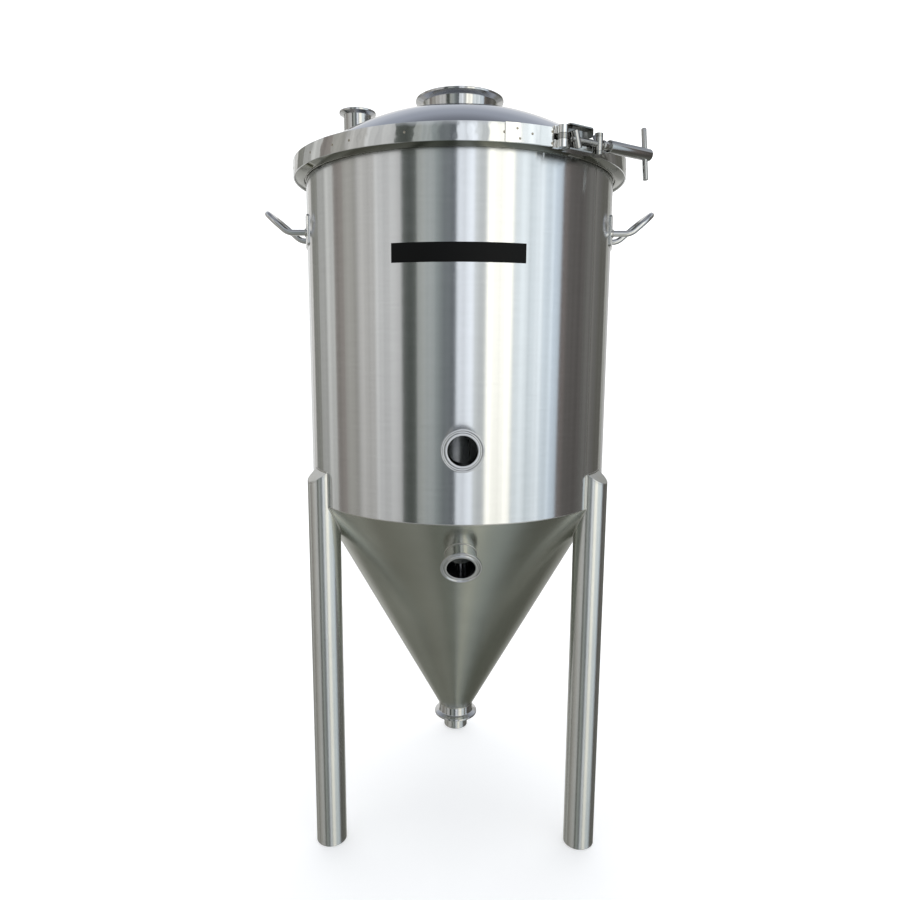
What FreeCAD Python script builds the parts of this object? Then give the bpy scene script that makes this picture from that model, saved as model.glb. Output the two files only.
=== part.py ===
import FreeCAD, Part
import os
import math
import Sketcher

# Conical fermenter: a cylindrical stainless tank with a conical bottom on three tube legs, a domed
# lid held by a two-part V-band, and a T-bolt clamp with a tee handle.
# Millimetres, +Z up. The origin is the centre of the bottom outlet's flange face, on the tank's
# axis. -Y is the front, where the two wall ports are. Heights in the sketches are measured from
# the floor, and every piece is then moved down by frame_z, so that the outlet's face is at 0.

V = FreeCAD.Vector
doc = FreeCAD.newDocument("conical_fermenter")
sheet = doc.addObject("Spreadsheet::Sheet", "dims")

CELLS = [
    ("frame_z", -140.0, "floor to origin"),
    ("tank_r", 207.5, "tank outer radius"),
    ("wall", 1.5, "sheet thickness of tank, cone and lid"),
    ("cone_top", 492.6, "height of the cylinder to cone weld"),
    ("cone_half", 28.5, "cone half angle"),
    ("band_mid", 928.75, "height of the joint between tank rim and lid rim"),
    ("rim_r", 219.0, "radius of both rim flanges"),
    ("rim_in", 206.0, "inner radius of both rim flanges"),
    ("rim_edge", 6.55, "half height at the rim edge"),
    ("rim_root", 10.35, "half height at the root of the rims"),
    ("gasket_half", 1.6, "half of the gasket's thickness"),
    ("dome_r", 337.8, "dome sphere radius"),
    ("dome_c", 673.0, "height of the dome sphere's centre"),
    ("dome_edge", 204.0, "radius where the dome's sphere ends"),
    ("lip_r", 212.7, "radius of the lid sheet's edge on the rim"),
    ("strap_r", 223.5, "band strap outer radius"),
    ("strap_w", 1.5, "strap thickness"),
    ("strap_half", 10.05, "half of the strap's height"),
    ("ret_r", 222.0, "retainer outer radius, against the strap"),
    ("ret_w", 1.5, "retainer sheet thickness"),
    ("ret_web", 7.75, "half height of the retainer's web"),
    ("ret_in", 209.6, "radius of the retainer's lips"),
    ("ret_lip", 10.67, "half height at the retainer's lips"),
    ("leg_d", 42.4, "leg tube diameter"),
    ("leg_wall", 1.5, "leg tube wall"),
    ("leg_at", 204.3, "radius of the leg axes"),
    ("leg_in_z", 537.4, "height of a leg's top at the tank"),
    ("leg_out_z", 524.6, "height of a leg's top at its outside"),
    ("cap_t", 2.0, "leg cap thickness"),
    ("foot_t", 3.0, "foot plate thickness"),
    ("tc15_r", 25.25, "flange radius of the small ports"),
    ("tc15_tube", 19.05, "tube radius of the small ports"),
    ("tc15_bore", 17.4, "bore radius of the small ports"),
    ("tc15_groove", 21.75, "gasket groove radius of the small ports"),
    ("tc2_r", 32.0, "flange radius of the outlet"),
    ("tc2_tube", 25.4, "tube radius of the outlet"),
    ("tc2_bore", 23.75, "bore radius of the outlet"),
    ("tc2_groove", 28.15, "gasket groove radius of the outlet"),
    ("tc4_r", 59.5, "flange radius of the lid port"),
    ("tc4_tube", 50.8, "tube radius of the lid port"),
    ("tc4_bore", 48.7, "bore radius of the lid port"),
    ("tc4_groove", 55.2, "gasket groove radius of the lid port"),
    ("tc_edge", 2.85, "flange edge thickness"),
    ("port_az", 1.5, "azimuth of the two wall ports"),
    ("rim_slope_r", 208.6, "radius of both rims where their sloping backs end"),
    ("front_z", 584.7, "height of the front port"),
    ("front_len", 21.5, "front port flange face to tank wall"),
    ("rack_r", 183.9, "radius where the racking port's axis meets the cone"),
    ("rack_len", 23.0, "racking port flange face to cone wall"),
    ("lid_port_z", 1029.0, "height of the lid port's face"),
    ("side_at", 143.0, "radius of the lid's side port"),
    ("side_az", -98.0, "azimuth of the lid's side port"),
    ("side_z", 1020.4, "height of the side port's face"),
    ("grip_az", 90.0, "azimuth of the two carrying handles, left and right"),
    ("grip_z", 850.3, "height of the handle legs"),
    ("grip_half", 40.4, "half of the distance between the handle legs"),
    ("grip_out", 261.3, "radius of the handle's tip"),
    ("grip_bend", 229.6, "radius where the handle turns up"),
    ("grip_rise", 27.8, "rise of the handle's tip"),
    ("rod_r", 4.0, "handle rod radius"),
    ("pad_t", 2.0, "handle pad thickness"),
    ("pad_half", 20.0, "half angle of a handle pad"),
    ("pad_high", 40.0, "height of a handle pad"),
    ("label_half", 21.6, "half angle of the blank name plate"),
    ("label_z", 805.75, "height of the name plate's centre"),
    ("label_high", 21.7, "height of the name plate"),
    ("label_t", 0.5, "thickness of the name plate"),
    ("clamp_az", 33.9, "azimuth of the point where the bolt line comes nearest to the tank"),
    ("bolt_d", 230.5, "distance from the bolt's axis to the tank's axis"),
    ("bolt_z", 928.5, "height of the bolt's axis"),
    ("bolt_r", 3.0, "bolt radius"),
    ("bolt_from", -5.5, "bolt start along its axis"),
    ("bolt_to", 95.0, "bolt end along its axis"),
    ("barrel_r", 4.4, "T-head barrel radius"),
    ("barrel_len", 19.5, "T-head barrel length"),
    ("barrel_tilt", 18.0, "how far the loose barrel leans"),
    ("pin_s", -19.0, "latch pin along the bolt's axis"),
    ("pin_r", 4.0, "latch pin radius"),
    ("loop_r", 5.6, "latch loop outer radius"),
    ("trun_s", 35.0, "trunnion along the bolt's axis"),
    ("trun_r", 4.75, "trunnion radius"),
    ("journal_r", 3.0, "trunnion journal radius"),
    ("trun_half", 11.8, "half of the trunnion's length"),
    ("sleeve_r", 7.0, "handle sleeve radius"),
    ("sleeve_from", 50.6, "handle sleeve start"),
    ("sleeve_to", 119.5, "handle sleeve end"),
    ("tee_s", 111.2, "tee bar along the bolt's axis"),
    ("tee_r", 3.0, "tee bar radius"),
    ("tee_half", 30.3, "half of the tee bar's length"),
    ("fit", 0.05, "radial running clearance"),
    ("bend_low", 20.0, "bend radius where a handle turns up"),
    ("bend_end", 26.0, "bend radius of the handle's two outer corners"),
    ("hinge_az", 216.0, "azimuth of the band's rear hinge"),
    ("hinge_at", 230.5, "radius of the rear hinge's axis"),
    ("hinge_r", 3.0, "rear hinge pin radius"),
    ("hinge_loop", 4.75, "rear hinge knuckle radius"),
]
for i, (name, value, note) in enumerate(CELLS, start=1):
    sheet.set("A%d" % i, name)
    sheet.set("B%d" % i, repr(value))
    sheet.set("C%d" % i, note)
    sheet.setAlias("B%d" % i, name)
doc.recompute()
D = {name: float(getattr(sheet, name)) for name, _, _ in CELLS}
ALIASES = sorted(D, key=len, reverse=True)


def val(text):
    """The number an expression in sheet aliases stands for."""
    names = dict(D)
    out = 0.0
    # expressions here are sums and differences of aliases, numbers and number * alias
    text = text.replace("-", "+-").replace("++-", "+-")
    for term in text.split("+"):
        term = term.strip()
        if not term:
            continue
        sign = 1.0
        while term.startswith("-"):
            sign, term = -sign, term[1:].strip()
        prod = 1.0
        for factor in term.split("*"):
            factor = factor.strip()
            prod *= names[factor] if factor in names else float(factor)
        out += sign * prod
    return out


def expr(text):
    """The same expression as the document reads it."""
    out, word = "", ""
    for ch in text + " ":
        if ch.isalnum() or ch == "_":
            word += ch
        else:
            out += ("dims." + word) if word in D else word
            out += ch
            word = ""
    return out.strip()


NODES = []


def final(obj, label):
    obj.Label = label
    NODES.append((label, obj))
    return obj


def lift(obj, az=None):
    """Turn a piece about the tank's axis to its azimuth, and move it down to the frame."""
    rot = FreeCAD.Rotation(V(0, 0, 1), val(az) if az else 0.0)
    obj.Placement = FreeCAD.Placement(V(0, 0, D["frame_z"]), rot)
    obj.setExpression("Placement.Base.z", "dims.frame_z")
    if az:
        obj.setExpression("Placement.Rotation.Angle", expr(az))


def plane(body, role):
    return [f for f in body.Origin.OriginFeatures if f.Role == role][0]


def profile(body, name, pts, role="XZ_Plane"):
    """A closed straight-sided sketch whose corners are held by distances bound to the sheet."""
    sk = body.newObject("Sketcher::SketchObject", name)
    sk.AttachmentSupport = [(plane(body, role), "")]
    sk.MapMode = "FlatFace"
    num = [(val(a), val(b)) for a, b in pts]
    n = len(num)
    for i in range(n):
        a, b = num[i], num[(i + 1) % n]
        sk.addGeometry(Part.LineSegment(V(a[0], a[1], 0), V(b[0], b[1], 0)), False)
    for i in range(n):
        sk.addConstraint(Sketcher.Constraint("Coincident", i, 2, (i + 1) % n, 1))
    for i in range(n):
        for kind, k in (("DistanceX", 0), ("DistanceY", 1)):
            if abs(num[i][k]) < 1e-9:
                sk.addConstraint(Sketcher.Constraint("PointOnObject", i, 1, -2 if k == 0 else -1))
            else:
                c = sk.addConstraint(Sketcher.Constraint(kind, -1, 1, i, 1, num[i][k]))
                sk.setExpression("Constraints[%d]" % c, expr(pts[i][k]))
    return sk


def revolve(name, pts, angle=None):
    """A body turned about Z from a profile of (radius, height) corners."""
    body = doc.addObject("PartDesign::Body", name)
    sk = profile(body, name + "_profile", pts)
    rev = body.newObject("PartDesign::Revolution", name + "_turn")
    rev.Profile = sk
    rev.ReferenceAxis = (sk, ["V_Axis"])
    rev.Reversed = False
    rev.Angle = val(angle) if angle else 360.0
    if angle:
        rev.setExpression("Angle", expr(angle))
    sk.Visibility = False
    body.Tip = rev
    return body


def cylinder(name, r, length, base=(0, 0, 0), axis=V(0, 0, 1)):
    """A Part cylinder; r, length and base are sheet expressions or numbers."""
    c = doc.addObject("Part::Cylinder", name)
    c.Radius, c.Height = val(str(r)), val(str(length))
    c.setExpression("Radius", expr(str(r)))
    c.setExpression("Height", expr(str(length)))
    p = [val(str(q)) for q in base]
    c.Placement = FreeCAD.Placement(V(*p), FreeCAD.Rotation(V(0, 0, 1), axis))
    for q, k in zip(base, "xyz"):
        if isinstance(q, str):
            c.setExpression("Placement.Base." + k, expr(q))
    return c


def box(name, lo, hi):
    """A Part box between two corners given as sheet expressions or numbers."""
    b = doc.addObject("Part::Box", name)
    for key, k, axis in (("Length", 0, "x"), ("Width", 1, "y"), ("Height", 2, "z")):
        a, z = str(lo[k]), str(hi[k])
        size = val(z) - val(a)
        setattr(b, key, size)
        minus = "(" + expr(z) + ")-(" + expr(a) + ")"
        b.setExpression(key, minus)
    b.Placement = FreeCAD.Placement(V(*[val(str(q)) for q in lo]), FreeCAD.Rotation())
    for q, k in zip(lo, "xyz"):
        if isinstance(q, str):
            b.setExpression("Placement.Base." + k, expr(q))
    return b


def cut(name, base, tools):
    """base less each tool."""
    for i, tool in enumerate(tools):
        c = doc.addObject("Part::Cut", name if i == len(tools) - 1 else "%s_%d" % (name, i))
        c.Base, c.Tool = base, tool
        base = c
    return base


def fuse(name, pieces):
    f = doc.addObject("Part::MultiFuse", name)
    f.Shapes = pieces
    return f


def common(name, a, b):
    c = doc.addObject("Part::Common", name)
    c.Base, c.Tool = a, b
    return c


tan_half = math.tan(math.radians(D["cone_half"]))

ARCS = []


def arc_piece(name, pts, az_from, az_to):
    """A revolved piece from one azimuth to another."""
    sheet_row = len(CELLS) + 30 + len(ARCS)
    ARCS.append(name)
    alias = "span_" + name
    sheet.set("B%d" % sheet_row, repr(az_to - az_from))
    sheet.setAlias("B%d" % sheet_row, alias)
    doc.recompute()
    D[alias] = az_to - az_from
    b = revolve(name, pts, alias)
    b.Placement = FreeCAD.Placement(
        V(0, 0, 0), FreeCAD.Rotation(V(0, 0, 1), az_from - 90)
    )
    doc.recompute()
    # a sketch on the XZ plane turns towards +Y or -Y by its direction: check and mend
    mid = math.radians((az_from + az_to) / 2)
    com = b.Shape.CenterOfMass
    want = V(math.sin(mid), -math.cos(mid), 0)
    if (az_to - az_from) < 350 and V(com.x, com.y, 0).dot(want) < 0.9 * V(com.x, com.y, 0).Length:
        b.Placement = FreeCAD.Placement(
            V(0, 0, 0), FreeCAD.Rotation(V(0, 0, 1), az_to - 90)
        )
        doc.recompute()
        com = b.Shape.CenterOfMass
        if V(com.x, com.y, 0).dot(want) < 0.9 * V(com.x, com.y, 0).Length:
            raise RuntimeError(name + " lies at the wrong azimuth")
    return b


# ---------------------------------------------------------------- tank
# The cylinder wall in two rolled sheets: a narrow one in front that holds the port, and one
# that goes round the rest.
WALL = [
    ("tank_r-wall", "cone_top"),
    ("tank_r", "cone_top"),
    ("tank_r", "band_mid-rim_root"),
    ("tank_r-wall", "band_mid-rim_root"),
]
front = arc_piece("shell_front_blank", WALL, -22.0, 22.0)
front_hole = cylinder("front_hole", "tc15_tube", "60", (0, "0-tank_r+30", "front_z"), V(0, -1, 0))
o = cut("tank_shell_front", front, [front_hole])
lift(o, "port_az")
final(o, "tank_shell_front")
o = arc_piece("tank_shell_arc", WALL, 22.0 + D["port_az"], 338.0 + D["port_az"])
o.Placement = FreeCAD.Placement(V(0, 0, D["frame_z"]), FreeCAD.Rotation()).multiply(o.Placement)
o.setExpression("Placement.Base.z", "dims.frame_z")
final(o, "tank_shell")

# The rolled rim on the tank's mouth: a flat sealing face over a sloping back that the band grips.
o = revolve(
    "tank_rim_flange",
    [
        ("rim_in", "band_mid-rim_root"),
        ("rim_slope_r", "band_mid-rim_root"),
        ("rim_r", "band_mid-rim_edge"),
        ("rim_r", "band_mid-gasket_half"),
        ("rim_in", "band_mid-gasket_half"),
    ],
)
lift(o)
final(o, "tank_rim_flange")

# The cone, one sheet thick, ending where the outlet's tube begins.
sheet.set("B%d" % (len(CELLS) + 1), "=cone_top - (tank_r - tc2_tube) / tan(cone_half)")
sheet.setAlias("B%d" % (len(CELLS) + 1), "cone_end")
sheet.set("B%d" % (len(CELLS) + 2), "=wall / sin(cone_half)")
sheet.setAlias("B%d" % (len(CELLS) + 2), "cone_drop")
doc.recompute()
D["cone_end"] = float(sheet.cone_end)
D["cone_drop"] = float(sheet.cone_drop)
# inner face: the outer cone moved up by cone_drop, so its radius at the weld is smaller
sheet.set("B%d" % (len(CELLS) + 3), "=tank_r - cone_drop * tan(cone_half)")
sheet.setAlias("B%d" % (len(CELLS) + 3), "cone_in_r")
sheet.set("B%d" % (len(CELLS) + 4), "=cone_end + cone_drop - (tc2_tube - tc2_bore) / tan(cone_half)")
sheet.setAlias("B%d" % (len(CELLS) + 4), "cone_in_end")
doc.recompute()
D["cone_in_r"] = float(sheet.cone_in_r)
D["cone_in_end"] = float(sheet.cone_in_end)
cone = revolve(
    "cone_blank",
    [
        ("cone_in_r", "cone_top"),
        ("tank_r", "cone_top"),
        ("tc2_tube", "cone_end"),
        ("tc2_bore", "cone_end"),
        ("tc2_bore", "cone_in_end"),
    ],
)
# racking port: its axis is square to the cone wall, forward and down
rack_z = D["cone_top"] - (D["tank_r"] - D["rack_r"]) / tan_half
a = math.radians(D["cone_half"])
rack_dir = V(0, -math.cos(a), -math.sin(a))
rack_foot = V(0, -D["rack_r"], rack_z)
rack_hole = cylinder("rack_hole", "tc15_tube", "60", (0, 0, 0), V(0, -1, 0))
rack_hole.Placement = FreeCAD.Placement(
    rack_foot - rack_dir * 30, FreeCAD.Rotation(V(0, 0, 1), rack_dir)
)
o = cut("cone", cone, [rack_hole])
lift(o, "port_az")
final(o, "cone")


# ---------------------------------------------------------------- clamp ferrules
def ferrule(name, kind, length):
    """A ferrule turned about Z with its face at height 100 and its tube going down by length,
    written as minus terms: a flat face with a gasket groove, a thin edge, a 20 degree back."""
    r, tube, bore, groove = kind + "_r", kind + "_tube", kind + "_bore", kind + "_groove"
    body = doc.addObject("PartDesign::Body", name)
    # heights are offset by 100 so that every corner of the sketch is above its origin
    back = (D[r] - D[tube]) * math.tan(math.radians(20))
    sheet_row = len(CELLS) + 10 + len(FERRULES)
    FERRULES.append(name)
    alias = "back_" + name
    sheet.set("B%d" % sheet_row, "=(%s - %s) * tan(20)" % (r, tube))
    sheet.setAlias("B%d" % sheet_row, alias)
    doc.recompute()
    D[alias] = float(getattr(sheet, alias))
    sk = profile(
        body,
        name + "_profile",
        [
            (bore, "100" + length),
            (tube, "100" + length),
            (tube, "100-tc_edge-" + alias),
            (r, "100-tc_edge"),
            (r, "100"),
            (groove + "+1.6", "100"),
            (groove + "+0.8", "98.6"),
            (groove + "-0.8", "98.6"),
            (groove + "-1.6", "100"),
            (bore, "100"),
        ],
    )
    rev = body.newObject("PartDesign::Revolution", name + "_turn")
    rev.Profile = sk
    rev.ReferenceAxis = (sk, ["V_Axis"])
    rev.Angle = 360.0
    sk.Visibility = False
    body.Tip = rev
    return body


FERRULES = []


def place_face(obj, pos, axis):
    """Put a ferrule's face at pos, facing along axis."""
    rot = FreeCAD.Rotation(V(0, 0, 1), axis)
    obj.Placement = FreeCAD.Placement(V(*pos) - rot.multVec(V(0, 0, 100)), rot)


# bottom outlet, two inch
outlet = ferrule("outlet_blank", "tc2", "-cone_end-frame_z")
outlet.Placement = FreeCAD.Placement(V(0, 0, 100), FreeCAD.Rotation(V(1, 0, 0), 180))
final(outlet, "outlet_ferrule")

# front port: its tube ends flush with the tank's inner wall
front = ferrule("front_blank", "tc15", "-front_len-6")
place_face(front, (0, -D["tank_r"] - D["front_len"], D["front_z"]), V(0, -1, 0))
front.setExpression("Placement.Base.z", "dims.front_z")
trim = cylinder("front_trim", "tank_r-wall", "200", (0, 0, "front_z-100"))
o = cut("front_port_ferrule", front, [trim])
lift(o, "port_az")
final(o, "front_port_ferrule")

# racking port, trimmed flush with the inside of the cone
rack = ferrule("rack_blank", "tc15", "-rack_len-14")
place_face(rack, rack_foot + rack_dir * D["rack_len"], rack_dir)
trim = doc.addObject("Part::Cone", "rack_trim")
trim.Radius1, trim.Radius2, trim.Height = 1.0, 10.0, 10.0
trim_low = 200.0
r_low = D["tank_r"] - (D["cone_top"] - trim_low + D["cone_drop"]) * tan_half
trim.Radius1 = r_low
trim.Radius2 = D["cone_in_r"]
trim.Height = D["cone_top"] - trim_low
trim.setExpression(
    "Radius1", "dims.tank_r - (dims.cone_top - 200 + dims.cone_drop) * tan(dims.cone_half)"
)
trim.setExpression("Radius2", "dims.cone_in_r")
trim.setExpression("Height", "dims.cone_top - 200")
trim.Placement = FreeCAD.Placement(V(0, 0, trim_low), FreeCAD.Rotation())
o = cut("racking_port_ferrule", rack, [trim])
lift(o, "port_az")
final(o, "racking_port_ferrule")

# ---------------------------------------------------------------- legs
# Each leg is a tube coped round the cylinder and the cone, and cut off at a slope at the top.
envelope = revolve(
    "leg_envelope",
    [
        ("0", "cone_end"),
        ("tc2_tube", "cone_end"),
        ("tank_r", "cone_top"),
        ("tank_r", "band_mid-40"),
        ("0", "band_mid-40"),
    ],
)
doc.recompute()
out_r = D["leg_at"] + D["leg_d"] / 2
slope = math.degrees(math.atan2(D["leg_in_z"] - D["leg_out_z"], out_r - D["tank_r"]))


def leg_top(name, drop):
    """A box over the sloping top of a leg at the front, lowered by drop along its normal."""
    b = doc.addObject("Part::Box", name)
    b.Length, b.Width, b.Height = 120, 120, 80
    # local frame: X across, Y along the slope, Z its normal; the hinge line is on the tank wall
    rot = FreeCAD.Rotation(V(1, 0, 0), slope)
    base = V(0, -D["tank_r"], D["leg_in_z"]) + rot.multVec(V(-60, -90, -drop))
    b.Placement = FreeCAD.Placement(base, rot)
    return b


for who, az in (("left", -60.0), ("right", 60.0), ("rear", 180.0)):
    outer = cylinder("leg_outer_" + who, "leg_d*0.5", "560", (0, "0-leg_at", "0"))
    outer.setExpression("Placement.Base.z", "dims.foot_t")
    outer.setExpression("Height", "560")
    inner = cylinder("leg_inner_" + who, "leg_d*0.5-leg_wall", "600", (0, "0-leg_at", "0"))
    tube = cut("leg_tube_" + who, outer, [inner, leg_top("leg_slope_" + who, D["cap_t"])])
    o = cut("leg_" + who, tube, [envelope])
    lift(o)
    o.Placement = FreeCAD.Placement(V(0, 0, D["frame_z"]), FreeCAD.Rotation(V(0, 0, 1), az))
    final(o, "leg_" + who)
    # the sloping cap, one plate
    rod = cylinder("cap_rod_" + who, "leg_d*0.5", "560", (0, "0-leg_at", "20"))
    under = cut(
        "cap_top_" + who, rod, [leg_top("cap_upper_" + who, 0.0)]
    )
    lower = common("cap_slab_" + who, under, leg_top("cap_lower_" + who, D["cap_t"]))
    o = cut("leg_cap_" + who, lower, [envelope])
    o.Placement = FreeCAD.Placement(V(0, 0, D["frame_z"]), FreeCAD.Rotation(V(0, 0, 1), az))
    o.setExpression("Placement.Base.z", "dims.frame_z")
    final(o, "leg_cap_" + who)
    # the plate that closes the foot
    foot = cylinder("foot_" + who, "leg_d*0.5", "foot_t", (0, "0-leg_at", 0))
    edge = doc.addObject("Part::Chamfer", "foot_edge_" + who)
    doc.recompute()
    edge.Base = foot
    low = [
        i + 1
        for i, e in enumerate(foot.Shape.Edges)
        if abs(e.BoundBox.ZMax) < 1e-6 and e.BoundBox.XLength > 1
    ]
    edge.Edges = [(i, 0.8, 0.8) for i in low]
    foot.Visibility = False
    edge.Placement = FreeCAD.Placement(V(0, 0, D["frame_z"]), FreeCAD.Rotation(V(0, 0, 1), az))
    edge.setExpression("Placement.Base.z", "dims.frame_z")
    final(edge, "foot_plate_" + who)

# ---------------------------------------------------------------- carrying handles
for who, side in (("left", -1.0), ("right", 1.0)):
    pad = revolve(
        "pad_blank_" + who,
        [
            ("tank_r", "grip_z-0.5*pad_high"),
            ("tank_r+pad_t", "grip_z-0.5*pad_high"),
            ("tank_r+pad_t", "grip_z+0.5*pad_high"),
            ("tank_r", "grip_z+0.5*pad_high"),
        ],
        "2*pad_half",
    )
    az = side * D["grip_az"]
    pad.Placement = FreeCAD.Placement(
        V(0, 0, 0), FreeCAD.Rotation(V(0, 0, 1), -90 - D["pad_half"])
    )
    pad.setExpression("Placement.Rotation.Angle", "90+dims.pad_half")
    doc.recompute()
    if pad.Shape.BoundBox.YMax > 0:
        pad.setExpression("Placement.Rotation.Angle", None)
        pad.Placement = FreeCAD.Placement(
            V(0, 0, 0), FreeCAD.Rotation(V(0, 0, 1), -90 - D["pad_half"])
        )
    doc.recompute()
    # rounded corners: the pad meets a block whose upright corners are round, seen from outside
    block = doc.addObject("Part::Box", "pad_block_" + who)
    half = D["tank_r"] * math.sin(math.radians(D["pad_half"])) + 2
    block.Length, block.Width, block.Height = 2 * half, 60, D["pad_high"]
    block.Placement = FreeCAD.Placement(
        V(-half, -D["tank_r"] - 30, D["grip_z"] - D["pad_high"] / 2), FreeCAD.Rotation()
    )
    doc.recompute()
    rounds = doc.addObject("Part::Fillet", "pad_round_" + who)
    rounds.Base = block
    rounds.Edges = [
        (i + 1, 8.0, 8.0)
        for i, e in enumerate(block.Shape.Edges)
        if e.BoundBox.YLength > 50
    ]
    o = common("handle_pad_" + who, pad, rounds)
    o.Placement = FreeCAD.Placement(V(0, 0, D["frame_z"]), FreeCAD.Rotation(V(0, 0, 1), az))
    o.setExpression("Placement.Base.z", "dims.frame_z")
    final(o, "handle_pad_" + who)

    # the bent rod: two legs out of the pad, a bend upwards, and two wide corners at the end,
    # as round bars and quarter rings that share their end faces
    r0 = D["tank_r"] + D["pad_t"]
    run = D["grip_out"] - D["grip_bend"]
    up = math.atan2(D["grip_rise"], run)
    half = D["grip_half"]
    e_dir = V(0, -math.cos(up), math.sin(up))
    out = V(0, -1, 0)
    low, end = D["bend_low"], D["bend_end"]
    back = low * math.tan(up / 2)
    length = math.hypot(run, D["grip_rise"])
    bits = []

    def bar(tag, p, q):
        c = doc.addObject("Part::Cylinder", "rod_%s_%s" % (tag, who))
        c.setExpression("Radius", "dims.rod_r")
        c.Height = (q - p).Length
        c.Placement = FreeCAD.Placement(p, FreeCAD.Rotation(V(0, 0, 1), q - p))
        bits.append(c)

    def bend(tag, centre, start, heading, radius_cell, degrees):
        """A bend from start, going towards heading, about centre."""
        x = (start - centre).normalize()
        z = x.cross(heading).normalize()
        t = doc.addObject("Part::Torus", "rod_%s_%s" % (tag, who))
        t.setExpression("Radius1", "dims." + radius_cell)
        t.setExpression("Radius2", "dims.rod_r")
        t.Angle3 = degrees
        t.Placement = FreeCAD.Placement(centre, FreeCAD.Rotation(x, z.cross(x), z, "XYZ"))
        bits.append(t)

    for tag, sgn in (("a", 1.0), ("b", -1.0)):
        w_dir = V(sgn, 0, 0)
        corner = V(sgn * half, -D["grip_bend"], D["grip_z"])
        a1 = corner - out * back
        a2 = corner + e_dir * back
        n = (e_dir - out * out.dot(e_dir)).normalize()
        bar("leg_" + tag, V(sgn * half, -D["tank_r"] + 14, D["grip_z"]), a1)
        bend("low_" + tag, a1 + n * low, a1, out, "bend_low", math.degrees(up))
        b1 = corner + e_dir * (length - end)
        bar("arm_" + tag, a2, b1)
        bend("end_" + tag, b1 - w_dir * end, b1, e_dir, "bend_end", 90.0)
    tip = V(0, -D["grip_bend"], D["grip_z"]) + e_dir * length
    bar("tip", tip + V(half - end, 0, 0), tip - V(half - end, 0, 0))
    hoop = fuse("rod_hoop_" + who, bits)
    inside_pad = cylinder("rod_inside_" + who, "tank_r+pad_t", "200", (0, 0, "grip_z-100"))
    o = cut("handle_rod_" + who, hoop, [inside_pad])
    o.Placement = FreeCAD.Placement(V(0, 0, D["frame_z"]), FreeCAD.Rotation(V(0, 0, 1), az))
    o.setExpression("Placement.Base.z", "dims.frame_z")
    final(o, "handle_rod_" + who)

# ---------------------------------------------------------------- blank name plate
label = revolve(
    "plate_blank",
    [
        ("tank_r", "label_z-0.5*label_high"),
        ("tank_r+label_t", "label_z-0.5*label_high"),
        ("tank_r+label_t", "label_z+0.5*label_high"),
        ("tank_r", "label_z+0.5*label_high"),
    ],
    "2*label_half",
)

# ---------------------------------------------------------------- gasket and lid
o = revolve(
    "lid_gasket",
    [
        ("rim_in", "band_mid-gasket_half"),
        ("rim_r-2", "band_mid-gasket_half"),
        ("rim_r-2", "band_mid+gasket_half-0.1"),
        ("rim_in", "band_mid+gasket_half-0.1"),
    ],
)
lift(o)
final(o, "lid_gasket")

o = revolve(
    "lid_rim",
    [
        ("rim_in", "band_mid+gasket_half"),
        ("rim_r", "band_mid+gasket_half"),
        ("rim_r", "band_mid+rim_edge"),
        ("lip_r", "band_mid+rim_root-wall"),
        ("rim_in", "band_mid+rim_root-wall"),
    ],
)
lift(o)
final(o, "lid_rim")

# the dome: a spherical cap, one sheet thick, with a short seat on the rim
body = doc.addObject("PartDesign::Body", "dome_blank")
sk = body.newObject("Sketcher::SketchObject", "dome_profile")
sk.AttachmentSupport = [(plane(body, "XZ_Plane"), "")]
sk.MapMode = "FlatFace"
Rs, Cz, w = D["dome_r"], D["dome_c"], D["wall"]
margin_z = D["band_mid"] + D["rim_root"] - w
slope_r = D["rim_slope_r"]
lip_r = D["lip_r"]
re = D["dome_edge"]
zo = Cz + math.sqrt(Rs ** 2 - re ** 2)
zi = Cz + math.sqrt((Rs - w) ** 2 - (re - 0.9) ** 2)
ang_o = math.atan2(zo - Cz, re)
ang_i = math.atan2(zi - Cz, re - 0.9)
r_hole = D["tc4_tube"]
zo2 = Cz + math.sqrt(Rs ** 2 - r_hole ** 2)
zi2 = Cz + math.sqrt((Rs - w) ** 2 - r_hole ** 2)
geo = [
    Part.ArcOfCircle(
        Part.Circle(V(0, Cz, 0), V(0, 0, 1), Rs), ang_o, math.atan2(zo2 - Cz, r_hole)
    ),  # 0 outer arc from the margin up to the hole
    Part.LineSegment(V(r_hole, zo2, 0), V(r_hole, zi2, 0)),  # 1 hole edge
    Part.ArcOfCircle(
        Part.Circle(V(0, Cz, 0), V(0, 0, 1), Rs - w), ang_i, math.atan2(zi2 - Cz, r_hole)
    ),  # 2 inner arc
    Part.LineSegment(V(re - 0.9, zi, 0), V(D["rim_in"], margin_z, 0)),  # 3 margin underside
    Part.LineSegment(V(D["rim_in"], margin_z, 0), V(lip_r, margin_z, 0)),  # 4 seat
    Part.LineSegment(V(lip_r, margin_z, 0), V(slope_r, margin_z + w, 0)),  # 5
    Part.LineSegment(V(slope_r, margin_z + w, 0), V(re, zo, 0)),  # 6 margin top
]
sk.addGeometry(geo, False)
C = Sketcher.Constraint
sk.addConstraint(C("Coincident", 0, 2, 1, 1))
sk.addConstraint(C("Coincident", 1, 2, 2, 2))
sk.addConstraint(C("Coincident", 2, 1, 3, 1))
sk.addConstraint(C("Coincident", 3, 2, 4, 1))
sk.addConstraint(C("Coincident", 4, 2, 5, 1))
sk.addConstraint(C("Coincident", 5, 2, 6, 1))
sk.addConstraint(C("Coincident", 6, 2, 0, 1))
sk.addConstraint(C("PointOnObject", 0, 3, -2))
sk.addConstraint(C("Coincident", 0, 3, 2, 3))
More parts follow.
